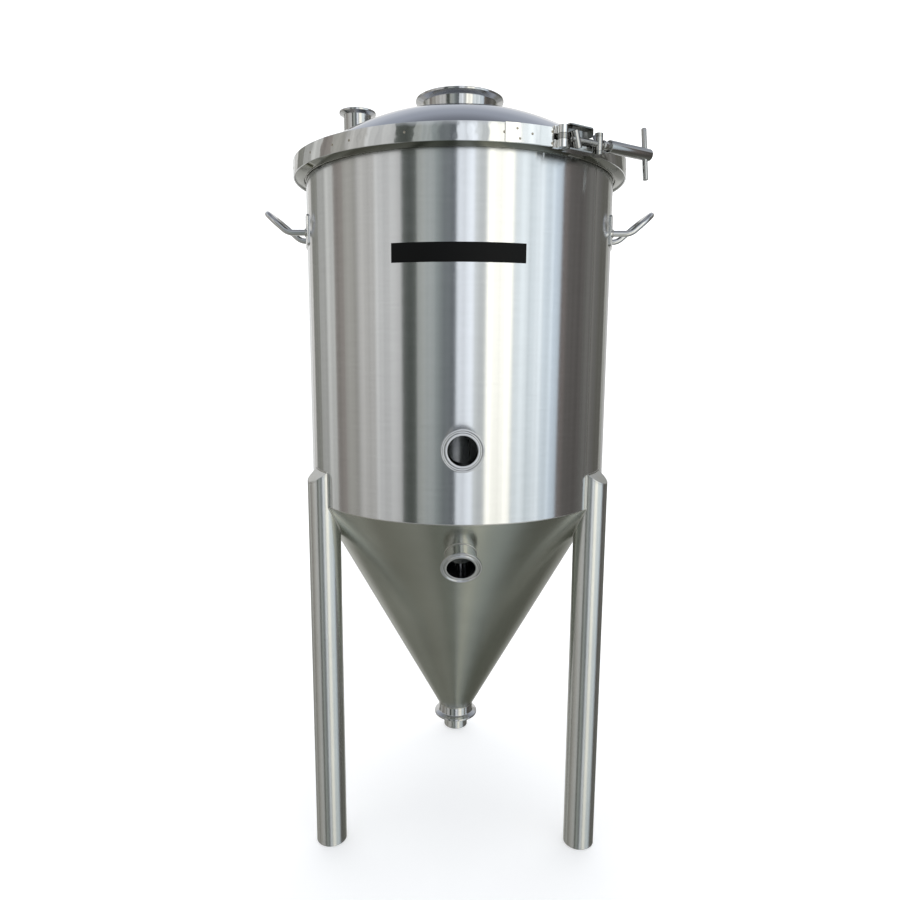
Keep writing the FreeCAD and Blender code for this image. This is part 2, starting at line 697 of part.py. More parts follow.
for c, e in (
    (C("DistanceY", -1, 1, 0, 3, Cz), "dims.dome_c"),
    (C("Radius", 0, Rs), "dims.dome_r"),
    (C("Radius", 2, Rs - w), "dims.dome_r-dims.wall"),
    (C("DistanceX", -1, 1, 1, 1, r_hole), "dims.tc4_tube"),
    (C("DistanceX", -1, 1, 1, 2, r_hole), "dims.tc4_tube"),
    (C("DistanceX", -1, 1, 0, 1, re), "dims.dome_edge"),
    (C("DistanceX", -1, 1, 2, 1, re - 0.9), "dims.dome_edge-0.9"),
    (C("DistanceX", -1, 1, 4, 1, D["rim_in"]), "dims.rim_in"),
    (C("DistanceY", -1, 1, 4, 1, margin_z), "dims.band_mid+dims.rim_root-dims.wall"),
    (C("DistanceX", -1, 1, 4, 2, lip_r), "dims.lip_r"),
    (C("DistanceY", -1, 1, 4, 2, margin_z), "dims.band_mid+dims.rim_root-dims.wall"),
    (C("DistanceX", -1, 1, 5, 2, slope_r), "dims.rim_slope_r"),
    (C("DistanceY", -1, 1, 5, 2, margin_z + w), "dims.band_mid+dims.rim_root"),
):
    i = sk.addConstraint(c)
    sk.setExpression("Constraints[%d]" % i, e)
rev = body.newObject("PartDesign::Revolution", "dome_turn")
rev.Profile = sk
rev.ReferenceAxis = (sk, ["V_Axis"])
rev.Angle = 360.0
body.Tip = rev
side_hole = cylinder("side_hole", "tc15_tube", "200", ("0", "0-side_at", "850"))
turned = FreeCAD.Rotation(V(0, 0, 1), D["side_az"])
side_pos = turned.multVec(V(0, -D["side_at"], 0))
side_hole.setExpression("Placement.Base.x", "dims.side_at * sin(dims.side_az)")
side_hole.setExpression("Placement.Base.y", "-dims.side_at * cos(dims.side_az)")
side_hole.Placement = FreeCAD.Placement(V(side_pos.x, side_pos.y, 850), FreeCAD.Rotation())
o = cut("lid_dome", body, [side_hole])
lift(o)
final(o, "lid_dome")

# lid ports, trimmed flush with the inside of the dome
dome_in = doc.addObject("Part::Sphere", "dome_inside")
dome_in.Radius = Rs - w
dome_in.setExpression("Radius", "dims.dome_r-dims.wall")
dome_in.Placement = FreeCAD.Placement(V(0, 0, Cz), FreeCAD.Rotation())
dome_in.setExpression("Placement.Base.z", "dims.dome_c")
port = ferrule("lid_port_blank", "tc4", "-25")
place_face(port, (0, 0, D["lid_port_z"]), V(0, 0, 1))
port.setExpression("Placement.Base.z", "dims.lid_port_z-100")
o = cut("lid_centre_ferrule", port, [dome_in])
lift(o)
final(o, "lid_centre_ferrule")
dome_in2 = doc.addObject("Part::Sphere", "dome_inside_2")
dome_in2.Radius = Rs - w
dome_in2.setExpression("Radius", "dims.dome_r-dims.wall")
dome_in2.Placement = FreeCAD.Placement(V(0, 0, Cz), FreeCAD.Rotation())
dome_in2.setExpression("Placement.Base.z", "dims.dome_c")
side = ferrule("side_port_blank", "tc15", "-62")
place_face(side, (side_pos.x, side_pos.y, D["side_z"]), V(0, 0, 1))
side.setExpression("Placement.Base.x", "dims.side_at * sin(dims.side_az)")
side.setExpression("Placement.Base.y", "-dims.side_at * cos(dims.side_az)")
side.setExpression("Placement.Base.z", "dims.side_z-100")
o = cut("lid_side_ferrule", side, [dome_in2])
lift(o)
final(o, "lid_side_ferrule")


# ---------------------------------------------------------------- band
label.Placement = FreeCAD.Placement(
    V(0, 0, D["frame_z"]), FreeCAD.Rotation(V(0, 0, 1), -90 - D["label_half"])
)
doc.recompute()
if abs(label.Shape.CenterOfMass.x) > 1 or label.Shape.CenterOfMass.y > 0:
    label.Placement = FreeCAD.Placement(
        V(0, 0, D["frame_z"]), FreeCAD.Rotation(V(0, 0, 1), -90 + D["label_half"])
    )
label.setExpression("Placement.Base.z", "dims.frame_z")
final(label, "blank_label")

STRAP = [
    ("strap_r-strap_w", "band_mid-strap_half"),
    ("strap_r", "band_mid-strap_half"),
    ("strap_r", "band_mid+strap_half"),
    ("strap_r-strap_w", "band_mid+strap_half"),
]
# the V of the retainer: a web against the strap and two lips that slope apart inwards
RET = [
    ("ret_r", "band_mid-ret_web"),
    ("ret_r", "band_mid+ret_web"),
    ("ret_in+0.51", "band_mid+ret_lip+1.41"),
    ("ret_in", "band_mid+ret_lip"),
    ("ret_r-ret_w", "band_mid+ret_web-1.05"),
    ("ret_r-ret_w", "band_mid-ret_web+1.05"),
    ("ret_in", "band_mid-ret_lip"),
    ("ret_in+0.51", "band_mid-ret_lip-1.41"),
]
lift_z = FreeCAD.Placement(V(0, 0, D["frame_z"]), FreeCAD.Rotation())


def arc_final(name, pts, az_from, az_to):
    b = arc_piece(name + "_arc", pts, az_from, az_to)
    b.Placement = lift_z.multiply(b.Placement)
    b.setExpression("Placement.Base.z", "dims.frame_z")
    final(b, name)


arc_final("band_strap_left", STRAP, -142.5, 26.5)
arc_final("band_strap_right", STRAP, 44.5, 214.5)
arc_final("retainer_left_front", RET, -55.0, 36.0)
arc_final("retainer_left_rear", RET, -139.0, -59.0)
arc_final("retainer_right_front", RET, 43.5, 126.0)
arc_final("retainer_right_rear", RET, 130.0, 212.0)


def ring_at(name, lo, hi, r_out, r_in, x, y, zref):
    """A knuckle about a vertical pin: the ring and its hole, between two heights from zref."""
    a = cylinder(name + "_o", r_out, "%s+%s" % (hi, -lo), (x, y, "%s+%s" % (zref, lo)))
    b = cylinder(name + "_i", r_in, "%s+%s" % (hi + 1, 1 - lo), (x, y, "%s+%s" % (zref, lo - 1)))
    return a, b


def doubler(name, az_from, az_to, half):
    """A plate welded to the outside of the strap, between two azimuths of the local frame."""
    return arc_piece(
        name,
        [
            ("strap_r", "band_mid-%s" % half),
            ("strap_r+strap_w", "band_mid-%s" % half),
            ("strap_r+strap_w", "band_mid+%s" % half),
            ("strap_r", "band_mid+%s" % half),
        ],
        az_from,
        az_to,
    )


# ---------------------------------------------------------------- rear hinge
# In a frame turned to the hinge's azimuth: the hinge is at the front of that frame, the left half
# of the band on its +x side.
def to_hinge(obj, label_text):
    obj.Placement = FreeCAD.Placement(
        V(0, 0, D["frame_z"]), FreeCAD.Rotation(V(0, 0, 1), D["hinge_az"])
    )
    final(obj, label_text)


hx, hy = "0", "0-hinge_at"
lug, holes = [doubler("rear_plate_l", 2.2, 9.0, 10.0)], []
for k, (lo, hi) in enumerate(((4.2, 10.0), (-10.0, -4.2))):
    ro, ri = ring_at("rear_end_%d" % k, lo, hi, "hinge_loop", "hinge_r+fit", hx, hy, "band_mid")
    neck = box(
        "rear_neck_%d" % k,
        ("1.0", "1.5-hinge_at", "band_mid+%s" % lo),
        ("12.0", "6.6-hinge_at", "band_mid+%s" % hi),
    )
    lug += [ro, neck]
    holes.append(ri)
inside = cylinder("rear_inside_l", "strap_r", "60", (0, 0, "band_mid-30"))
o = cut("hinge_plate_left", fuse("rear_lug_left", lug), holes + [inside])
to_hinge(o, "hinge_plate_left")
ro, ri = ring_at("rear_mid", -4.0, 4.0, "hinge_loop", "hinge_r+fit", hx, hy, "band_mid")
neck = box(
    "rear_neck_mid",
    ("-12.0", "1.5-hinge_at", "band_mid-4.0"),
    ("-1.0", "6.6-hinge_at", "band_mid+4.0"),
)
inside = cylinder("rear_inside_r", "strap_r", "60", (0, 0, "band_mid-30"))
lug = fuse("rear_lug_right", [ro, neck, doubler("rear_plate_r", -9.0, -2.2, 10.0)])
o = cut("hinge_plate_right", lug, [ri, inside])
to_hinge(o, "hinge_plate_right")
pin = cylinder("rear_pin_shaft", "hinge_r", "23", (hx, hy, "band_mid-11.5"))
head = cylinder("rear_pin_head", "hinge_r+1.3", "1.6", (hx, hy, "band_mid+10.1"))
o = fuse("rear_pin_body", [pin, head])
to_hinge(o, "hinge_pin")


# ---------------------------------------------------------------- T-bolt clamp
# Local frame: x along the bolt, -y outwards from the tank, z up.
def to_clamp(obj, label_text):
    obj.Placement = FreeCAD.Placement(
        V(0, 0, D["frame_z"]), FreeCAD.Rotation(V(0, 0, 1), D["clamp_az"])
    )
    obj.setExpression("Placement.Base.z", "dims.frame_z")
    obj.setExpression("Placement.Rotation.Angle", "dims.clamp_az")
    final(obj, label_text)


def cbox(name, x0, x1, out0, out1, z0, z1):
    """A box by its reach along the bolt, outwards from the bolt's axis, and above it."""
    return box(
        name,
        (repr(x0), "%r-bolt_d" % -out1, "bolt_z+%r" % z0),
        (repr(x1), "%r-bolt_d" % -out0, "bolt_z+%r" % z1),
    )


def end_edges(name, base, size, axis):
    """Break the round end edges of a bar."""
    edge = doc.addObject("Part::Chamfer", name)
    doc.recompute()
    edge.Base = base
    flat = "XLength" if axis == "x" else "ZLength"
    wide = "ZLength" if axis == "x" else "XLength"
    edge.Edges = [
        (i + 1, size, size)
        for i, e in enumerate(base.Shape.Edges)
        if getattr(e.BoundBox, flat) < 1e-6 and getattr(e.BoundBox, wide) > 1
    ]
    return edge


BX = V(1, 0, 0)
px, py = "pin_s", "0-bolt_d"
# left loop: the strap's end plate rolled round the pin, open in the middle for the latch
t_o, t_i = ring_at("loop_top", 3.2, 11.5, "loop_r", "pin_r+fit", px, py, "bolt_z")
b_o, b_i = ring_at("loop_low", -11.5, -3.2, "loop_r", "pin_r+fit", px, py, "bolt_z")
n_t = cbox("loop_neck_t", -27.0, -19.0, -8.2, -4.1, 3.2, 11.5)
n_b = cbox("loop_neck_b", -27.0, -19.0, -8.2, -4.1, -11.5, -3.2)
plate_l = doubler("loop_plate", -21.3, -6.4, 10.0)
slot = cbox("loop_slot", -25.6, -10.0, -9.0, 9.0, -3.2, 3.2)
inside = cylinder("loop_inside", "strap_r", "60", (0, 0, "band_mid-30"))
o = cut("loop_plate_left", fuse("loop_lug", [t_o, b_o, n_t, n_b, plate_l]), [slot, t_i, b_i, inside])
to_clamp(o, "loop_plate_left")
pin = cylinder("latch_pin_shaft", "pin_r", "23.5", (px, py, "bolt_z-11.75"))
to_clamp(end_edges("latch_pin_edges", pin, 0.5, "z"), "latch_pin")

# latch: an open channel on the pin; its end wall holds the T-head behind a slot
k_o, k_i = ring_at("latch_knuckle", -2.9, 2.9, "loop_r", "pin_r+fit+0.01", px, py, "bolt_z")
block = cbox("latch_block", -19.0, -12.6, -6.6, -2.0, -2.9, 2.9)
outer = cbox("latch_outer", -14.5, 23.5, -6.6, 7.0, -13.5, 13.5)
hollow = cbox("latch_hollow", -15.0, 22.0, -5.1, 8.0, -12.0, 12.0)
lip = cbox("latch_lip", 21.5, 24.5, 4.0, 8.0, -12.0, 12.0)
notch = cbox("latch_notch", 21.0, 24.5, -4.2, 8.0, -5.0, 5.0)
# the right ends of the two flanges are cut off at an angle
corner = doc.addObject("PartDesign::Body", "latch_corner")
sk = profile(
    corner,
    "latch_corner_profile",
    [
        ("17.5", "-8-bolt_d"),
        ("25.0", "-8-bolt_d"),
        ("25.0", "-3.0-bolt_d"),
        ("23.5", "-3.0-bolt_d"),
    ],
    "XY_Plane",
)
pad = corner.newObject("PartDesign::Pad", "latch_corner_pad")
pad.Profile = sk
pad.Length = 2000
corner.Tip = pad
sk.Visibility = False
chan = cut("latch_chan", outer, [hollow, lip, notch, corner])
o = cut("latch_channel", fuse("latch_lug", [chan, k_o, block]), [k_i])
to_clamp(o, "latch_channel")

# T-bolt: a round bar through a loose cross barrel
shank = cylinder("shank_bar", "bolt_r", "bolt_to-bolt_from", ("bolt_from", "0-bolt_d", "bolt_z"), BX)
to_clamp(end_edges("shank_edges", shank, 0.6, "x"), "bolt_shank")
tilt = FreeCAD.Rotation(V(0, 1, 0), -D["barrel_tilt"])
barrel = cylinder("barrel_bar", "barrel_r", "barrel_len", (0, 0, 0))
barrel.Placement = FreeCAD.Placement(
    V(1.0, -D["bolt_d"], D["bolt_z"]) - tilt.multVec(V(0, 0, D["barrel_len"] / 2)), tilt
)
doc.recompute()
edge = doc.addObject("Part::Chamfer", "barrel_edges")
edge.Base = barrel
edge.Edges = [
    (i + 1, 0.5, 0.5)
    for i, e in enumerate(barrel.Shape.Edges)
    if e.Curve.TypeId == "Part::GeomCircle"
]
bore = cylinder("barrel_bore", "bolt_r", "24", ("0-12", "0-bolt_d", "bolt_z"), BX)
o = cut("bolt_barrel", edge, [bore])
to_clamp(o, "bolt_barrel")

# trunnion: pivots in the right loops, the bolt slides through its cross hole
tx, ty = "trun_s", "0-bolt_d"
core = cylinder("trun_core", "trun_r", "14.8", (tx, ty, "bolt_z-7.4"))
journal = cylinder("trun_journal", "journal_r", "2*trun_half", (tx, ty, "bolt_z-trun_half"))
bore = cylinder("trun_bore", "bolt_r+0.25", "20", ("trun_s-10", "0-bolt_d", "bolt_z"), BX)
o = cut("trunnion_pin", fuse("trun_body", [core, journal]), [bore])
to_clamp(o, "trunnion_pin")
t_o, t_i = ring_at("tl_top", 7.6, 11.5, "trun_r", "journal_r+fit", tx, ty, "bolt_z")
b_o, b_i = ring_at("tl_low", -11.5, -7.6, "trun_r", "journal_r+fit", tx, ty, "bolt_z")
n_t = cbox("tl_neck_t", 35.0, 44.0, -10.5, -3.2, 7.6, 11.5)
n_b = cbox("tl_neck_b", 35.0, 44.0, -10.5, -3.2, -11.5, -7.6)
inside = cylinder("tl_inside", "strap_r", "60", (0, 0, "band_mid-30"))
lug = fuse("tl_lug", [t_o, b_o, n_t, n_b, doubler("tl_plate", 9.6, 12.0, 11.2)])
o = cut("loop_plate_right", lug, [t_i, b_i, inside])
to_clamp(o, "loop_plate_right")


# pieces turned about the bolt's axis: made about Z, then laid along x
def along_bolt(obj):
    obj.Placement = FreeCAD.Placement(
        V(0, -D["bolt_d"], D["bolt_z"]), FreeCAD.Rotation(V(0, 0, 1), V(1, 0, 0))
    )
    obj.setExpression("Placement.Base.y", "-dims.bolt_d")
    obj.setExpression("Placement.Base.z", "dims.bolt_z")


# nut: a rounded collar that bears on the trunnion, and a neck up to the sleeve
nut = revolve(
    "nut_blank",
    [
        ("bolt_r+fit", "40.2"),
        ("4.3", "40.2"),
        ("5.2", "41.0"),
        ("5.5", "42.2"),
        ("5.2", "43.5"),
        ("4.6", "44.3"),
        ("4.6", "sleeve_from"),
        ("bolt_r+fit", "sleeve_from"),
    ],
)
along_bolt(nut)
o = doc.addObject("Part::Compound", "nut_set")
o.Links = [nut]
to_clamp(o, "handle_nut")

sleeve = revolve(
    "sleeve_blank",
    [
        ("bolt_r+fit", "sleeve_from"),
        ("sleeve_r-0.8", "sleeve_from"),
        ("sleeve_r", "sleeve_from+0.8"),
        ("sleeve_r", "sleeve_to-1.5"),
        ("sleeve_r-1.5", "sleeve_to"),
        ("0", "sleeve_to"),
        ("0", "105"),
        ("5", "105"),
        ("5", "sleeve_from+6"),
        ("bolt_r+fit", "sleeve_from+6"),
    ],
)
along_bolt(sleeve)
# the tee bar rests leaning by 6 degrees, its top towards the tank
TEE_C, TEE_S = math.cos(math.radians(6)), math.sin(math.radians(6))
LEAN = V(0, TEE_S, TEE_C)
tee_hole = cylinder("tee_hole", "tee_r", "40", ("tee_s", "0-bolt_d-%.6f" % (20 * TEE_S), "bolt_z-%.6f" % (20 * TEE_C)), LEAN)
o = cut("handle_sleeve", sleeve, [tee_hole])
to_clamp(o, "handle_sleeve")
tee = cylinder(
    "tee_rod", "tee_r", "2*tee_half", ("tee_s", "0-bolt_d-%.6f*tee_half" % TEE_S, "bolt_z-%.6f*tee_half" % TEE_C), LEAN
)
doc.recompute()
tee_ends = doc.addObject("Part::Chamfer", "tee_edges")
tee_ends.Base = tee
tee_ends.Edges = [(i + 1, 0.8, 0.8) for i, e in enumerate(tee.Shape.Edges) if isinstance(e.Curve, Part.Circle)]
to_clamp(tee_ends, "tee_bar")

# ---------------------------------------------------------------- checks and files
doc.recompute()
bad = []
for obj in doc.Objects:
    if "Invalid" in obj.State or "Error" in obj.State:
        bad.append("%s: %s" % (obj.Label, obj.State))
for label_text, obj in NODES:
    s = obj.Shape
    if s.isNull() or not s.isValid() or not s.Solids:
        bad.append("%s: shape is not sound" % label_text)
if bad:
    raise RuntimeError("; ".join(bad))
os.makedirs("parts", exist_ok=True)
for label_text, obj in NODES:
    s = obj.Shape
    bb = s.BoundBox
    print(
        "%-24s solids %d vol %.1f x %.1f..%.1f y %.1f..%.1f z %.1f..%.1f"
        % (label_text, len(s.Solids), s.Volume, bb.XMin, bb.XMax, bb.YMin, bb.YMax, bb.ZMin, bb.ZMax)
    )
    s.exportStep(os.path.join("parts", label_text + ".step"))
print(len(NODES), "nodes")
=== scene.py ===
import bpy
import bmesh
import math
import random
from mathutils import Matrix, Vector


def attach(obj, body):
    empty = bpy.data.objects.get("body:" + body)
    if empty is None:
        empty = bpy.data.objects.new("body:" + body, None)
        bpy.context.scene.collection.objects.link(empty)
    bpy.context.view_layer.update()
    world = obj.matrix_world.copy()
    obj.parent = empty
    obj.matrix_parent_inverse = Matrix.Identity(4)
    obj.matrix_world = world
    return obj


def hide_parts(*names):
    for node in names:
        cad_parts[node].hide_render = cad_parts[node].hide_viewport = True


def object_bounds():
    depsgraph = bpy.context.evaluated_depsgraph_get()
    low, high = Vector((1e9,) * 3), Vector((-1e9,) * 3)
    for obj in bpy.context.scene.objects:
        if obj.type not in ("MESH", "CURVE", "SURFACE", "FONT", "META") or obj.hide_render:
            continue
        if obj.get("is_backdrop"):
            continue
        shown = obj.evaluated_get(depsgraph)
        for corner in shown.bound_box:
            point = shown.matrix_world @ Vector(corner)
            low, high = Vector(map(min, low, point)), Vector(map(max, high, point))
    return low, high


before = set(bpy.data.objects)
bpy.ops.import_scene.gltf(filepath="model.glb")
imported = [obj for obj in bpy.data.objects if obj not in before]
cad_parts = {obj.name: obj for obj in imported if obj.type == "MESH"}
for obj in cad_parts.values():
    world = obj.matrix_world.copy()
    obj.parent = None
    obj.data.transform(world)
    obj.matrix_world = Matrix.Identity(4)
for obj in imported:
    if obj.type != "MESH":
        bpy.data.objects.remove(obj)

# Conical fermenter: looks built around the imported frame. Metres, same frame as the parts:
# the origin is the centre of the outlet's flange face, +Z up, -Y the front.
MM = 0.001


def plain(b):
    try:
        return [[float(q) for q in v] for v in b]
    except TypeError:
        return {str(k): plain(v) for k, v in dict(b).items()} if hasattr(b, "items") else str(b)


start_bounds = plain(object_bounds())
scene = bpy.context.scene


# ------------------------------------------------------------------ node helpers
def tree_of(mat):
    mat.use_nodes = True
    nt = mat.node_tree
    nt.nodes.clear()
    return nt


class Nodes:
    def __init__(self, nt):
        self.nt = nt

    def add(self, kind, **props):
        n = self.nt.nodes.new(kind)
        for k, v in props.items():
            setattr(n, k, v)
        return n

    def put(self, socket, value):
        if isinstance(value, bpy.types.NodeSocket):
            self.nt.links.new(value, socket)
        else:
            socket.default_value = value

    def math(self, op, a, b=0.0, c=None, clamp=False):
        n = self.add("ShaderNodeMath", operation=op, use_clamp=clamp)
        self.put(n.inputs[0], a)
        self.put(n.inputs[1], b)
        if c is not None:
            self.put(n.inputs[2], c)
        return n.outputs[0]

    def combine(self, x, y, z):
        n = self.add("ShaderNodeCombineXYZ")
        for s, v in zip(n.inputs, (x, y, z)):
            self.put(s, v)
        return n.outputs[0]

    def noise(self, vec, scale, detail=2.0, rough=0.5):
        n = self.add("ShaderNodeTexNoise")
        self.put(n.inputs["Vector"], vec)
        n.inputs["Scale"].default_value = scale
        n.inputs["Detail"].default_value = detail
        n.inputs["Roughness"].default_value = rough
        return n.outputs["Fac"]

    def remap(self, v, a, b, c, d):
        n = self.add("ShaderNodeMapRange")
        self.put(n.inputs["Value"], v)
        for k, q in (("From Min", a), ("From Max", b), ("To Min", c), ("To Max", d)):
            self.put(n.inputs[k], q)
        return n.outputs["Result"]

    def mix(self, fac, a, b):
        n = self.add("ShaderNodeMix", data_type="RGBA")
        self.put(n.inputs[0], fac)
        self.put(n.inputs[6], a)
        self.put(n.inputs[7], b)
        return n.outputs[2]


def steel(name, color, rough, aniso=0.0, around=True, grain=0.0, grain_scale=900.0, mottle=0.06, smudge=0.05,
          bump=0.0, wave=0.0):
    """Stainless steel: a metal whose grain runs round the piece's own z axis, with slow changes of tone,
    fine scratches and a little handling wear."""
    mat = bpy.data.materials.new(name)
    nt = tree_of(mat)
    N = Nodes(nt)
    out = N.add("ShaderNodeOutputMaterial")
    bsdf = N.add("ShaderNodeBsdfPrincipled")
    nt.links.new(bsdf.outputs[0], out.inputs[0])
    tc = N.add("ShaderNodeTexCoord")
    obj = tc.outputs["Object"]
    sep = N.add("ShaderNodeSeparateXYZ")
    nt.links.new(obj, sep.inputs[0])
    x, y, z = sep.outputs
    ang = N.math("ARCTAN2", x, y)
    rad = N.math("SQRT", N.math("ADD", N.math("MULTIPLY", x, x), N.math("MULTIPLY", y, y)))
    # grain coordinates: slow round the piece, fast along its axis
    g = N.combine(N.math("MULTIPLY", ang, 0.006), N.math("MULTIPLY", rad, 1.0), z)
    fine = N.noise(g, grain_scale, 2.0, 0.7)
    coarse = N.noise(N.combine(N.math("MULTIPLY", ang, 0.02), rad, z), grain_scale * 0.16, 3.0, 0.6)
    slow = N.noise(obj, 9.0, 3.0, 0.55)
    spots = N.noise(obj, 55.0, 4.0, 0.6)
    tone = N.math("ADD", 1.0, N.math("MULTIPLY", N.math("SUBTRACT", slow, 0.5), mottle))
    tone = N.math("ADD", tone, N.math("MULTIPLY", N.math("SUBTRACT", coarse, 0.5), grain * 0.8))
    tone = N.math("ADD", tone, N.math("MULTIPLY", N.math("SUBTRACT", fine, 0.5), grain))
    col = N.add("ShaderNodeVectorMath", operation="SCALE")
    col.inputs[0].default_value = color
    nt.links.new(tone, col.inputs["Scale"])
    nt.links.new(col.outputs[0], bsdf.inputs["Base Color"])
    bsdf.inputs["Metallic"].default_value = 1.0
    r = N.math("ADD", rough, N.math("MULTIPLY", N.math("SUBTRACT", spots, 0.5), smudge))
    r = N.math("ADD", r, N.math("MULTIPLY", N.math("SUBTRACT", coarse, 0.5), grain * 0.5), clamp=True)
    nt.links.new(r, bsdf.inputs["Roughness"])
    if aniso:
        bsdf.inputs["Anisotropic"].default_value = aniso
        bsdf.inputs["Anisotropic Rotation"].default_value = 0.25
        tan = N.add("ShaderNodeTangent", direction_type="RADIAL", axis="Z")
        nt.links.new(tan.outputs[0], bsdf.inputs["Tangent"])
    if bump or wave:
        b = N.add("ShaderNodeBump")
        b.inputs["Strength"].default_value = 1.0
        b.inputs["Distance"].default_value = 0.0002
        h = N.math("MULTIPLY", N.math("ADD", fine, N.math("MULTIPLY", coarse, 0.6)), bump)
        # slow dents of thin sheet, which bend what it mirrors
        h = N.math("ADD", h, N.math("MULTIPLY", N.noise(obj, 38.0, 2.0, 0.5), wave))
        nt.links.new(h, b.inputs["Height"])
        nt.links.new(b.outputs[0], bsdf.inputs["Normal"])
    return mat


def rough_steel(name, color, rough, scale=1400.0, bump=0.25, tint=None):
    """Weld bead or bead-blasted metal."""
    mat = bpy.data.materials.new(name)
    nt = tree_of(mat)
    N = Nodes(nt)
    out = N.add("ShaderNodeOutputMaterial")
    bsdf = N.add("ShaderNodeBsdfPrincipled")
    nt.links.new(bsdf.outputs[0], out.inputs[0])
    tc = N.add("ShaderNodeTexCoord")
    n1 = N.noise(tc.outputs["Object"], scale, 3.0, 0.6)
    n2 = N.noise(tc.outputs["Object"], scale * 0.2, 3.0, 0.6)
    col = N.mix(n2, (*color, 1), (*(tint or color), 1))
    nt.links.new(col, bsdf.inputs["Base Color"])
    bsdf.inputs["Metallic"].default_value = 1.0
    nt.links.new(N.math("ADD", rough, N.math("MULTIPLY", N.math("SUBTRACT", n2, 0.5), 0.15)), bsdf.inputs["Roughness"])
    b = N.add("ShaderNodeBump")
    b.inputs["Strength"].default_value = bump
    b.inputs["Distance"].default_value = 0.0002
    nt.links.new(n1, b.inputs["Height"])
    nt.links.new(b.outputs[0], bsdf.inputs["Normal"])
    return mat


def soft(name, color, rough, shine=0.5):
    mat = bpy.data.materials.new(name)
    nt = tree_of(mat)
    N = Nodes(nt)
    out = N.add("ShaderNodeOutputMaterial")
    bsdf = N.add("ShaderNodeBsdfPrincipled")
    nt.links.new(bsdf.outputs[0], out.inputs[0])
    tc = N.add("ShaderNodeTexCoord")
    n = N.noise(tc.outputs["Object"], 300.0, 3.0, 0.6)
    nt.links.new(N.math("ADD", rough, N.math("MULTIPLY", N.math("SUBTRACT", n, 0.5), 0.1)), bsdf.inputs["Roughness"])
    bsdf.inputs["Base Color"].default_value = (*color, 1)
    bsdf.inputs["Specular IOR Level"].default_value = shine
    return mat


M = {
    "tank_steel": steel("tank_steel", (0.74, 0.75, 0.755), 0.16, 0.9, grain=0.10, grain_scale=1500.0, bump=0.05),
    # rim steel: a darker copy of the tank's steel, painted shade for the rims that sit inside the band's channel
    "rim_steel": steel("rim_steel", (0.40, 0.40, 0.37), 0.2, 0.5, grain=0.06),
    # cone steel: a darker, olive copy of the tank's steel, a painted reflection of the grey-green floor beneath the
    # cone
    "cone_steel": steel("cone_steel", (0.52, 0.53, 0.475), 0.24, 0.5, grain=0.06, grain_scale=900.0, mottle=0.28),
    "dome_steel": steel("dome_steel", (0.64, 0.65, 0.68), 0.06, 0.0, grain=0.01, mottle=0.03, smudge=0.03),
    "ferrule_steel": steel("ferrule_steel", (0.62, 0.62, 0.615), 0.13, 0.75, grain=0.05, grain_scale=1500.0),
    "leg_steel": steel("leg_steel", (0.70, 0.705, 0.685), 0.25, 0.4, grain=0.05, grain_scale=900.0, mottle=0.16),
    "grip_steel": steel("grip_steel", (0.72, 0.72, 0.715), 0.08, 0.0, grain=0.03),
    "band_steel": steel("band_steel", (0.72, 0.73, 0.73), 0.08, 0.0, grain=0.03, grain_scale=1200.0, mottle=0.25, wave=2.2),
    # retainer steel: a near-black copy of the steel, painted shade for the shadowed groove under the band
    "retainer_steel": steel("retainer_steel", (0.22, 0.225, 0.19), 0.14, 0.3, grain=0.06, mottle=0.3),
    # clamp steel: a darkened copy of the steel, painted shade standing in for the dark room the clamp mirrors
    "clamp_steel": steel("clamp_steel", (0.44, 0.44, 0.425), 0.16, 0.0, grain=0.04, mottle=0.3),
    # bolt steel: a darkened copy of the steel, painted shade standing in for the dark room the bolt mirrors
    "bolt_steel": steel("bolt_steel", (0.55, 0.545, 0.53), 0.15, 0.3, grain=0.08, mottle=0.2),
    # handle steel: a darkened copy of the steel, painted shade standing in for the dark surroundings the handle mirrors
    "handle_steel": steel("handle_steel", (0.50, 0.50, 0.49), 0.11, 0.0, grain=0.05),
    # plate steel: a lighter copy of the steel, a painted highlight on the left loop plate
    "plate_steel": steel("plate_steel", (0.86, 0.86, 0.85), 0.1, 0.0, grain=0.03, mottle=0.2, wave=1.2),
    "gasket_silicone": soft("gasket_silicone", (0.75, 0.75, 0.72), 0.45),
    "label_black": soft("label_black", (0.004, 0.004, 0.004), 0.5, 0.15),
}
WELD = rough_steel("weld_bead", (0.66, 0.66, 0.63), 0.3, tint=(0.5, 0.48, 0.43))
SPOT = rough_steel("spot_weld", (0.36, 0.33, 0.28), 0.35, tint=(0.5, 0.46, 0.38))


# ------------------------------------------------------------------ mesh helpers
def obj_from(name, verts, faces, mat=None, smooth=30.0):
    me = bpy.data.meshes.new(name)
    me.from_pydata([tuple(v) for v in verts], [], faces)
    me.validate()
    ob = bpy.data.objects.new(name, me)
    scene.collection.objects.link(ob)
    if mat:
        me.materials.append(mat)
    finish_mesh(ob, smooth)
    return ob


def finish_mesh(ob, smooth=30.0):
    me = ob.data
    bm = bmesh.new()
    bm.from_mesh(me)
    bmesh.ops.recalc_face_normals(bm, faces=bm.faces)
    bm.to_mesh(me)
    bm.free()
    for p in me.polygons:
        p.use_smooth = True
    me.set_sharp_from_angle(angle=math.radians(smooth))
    me.update()


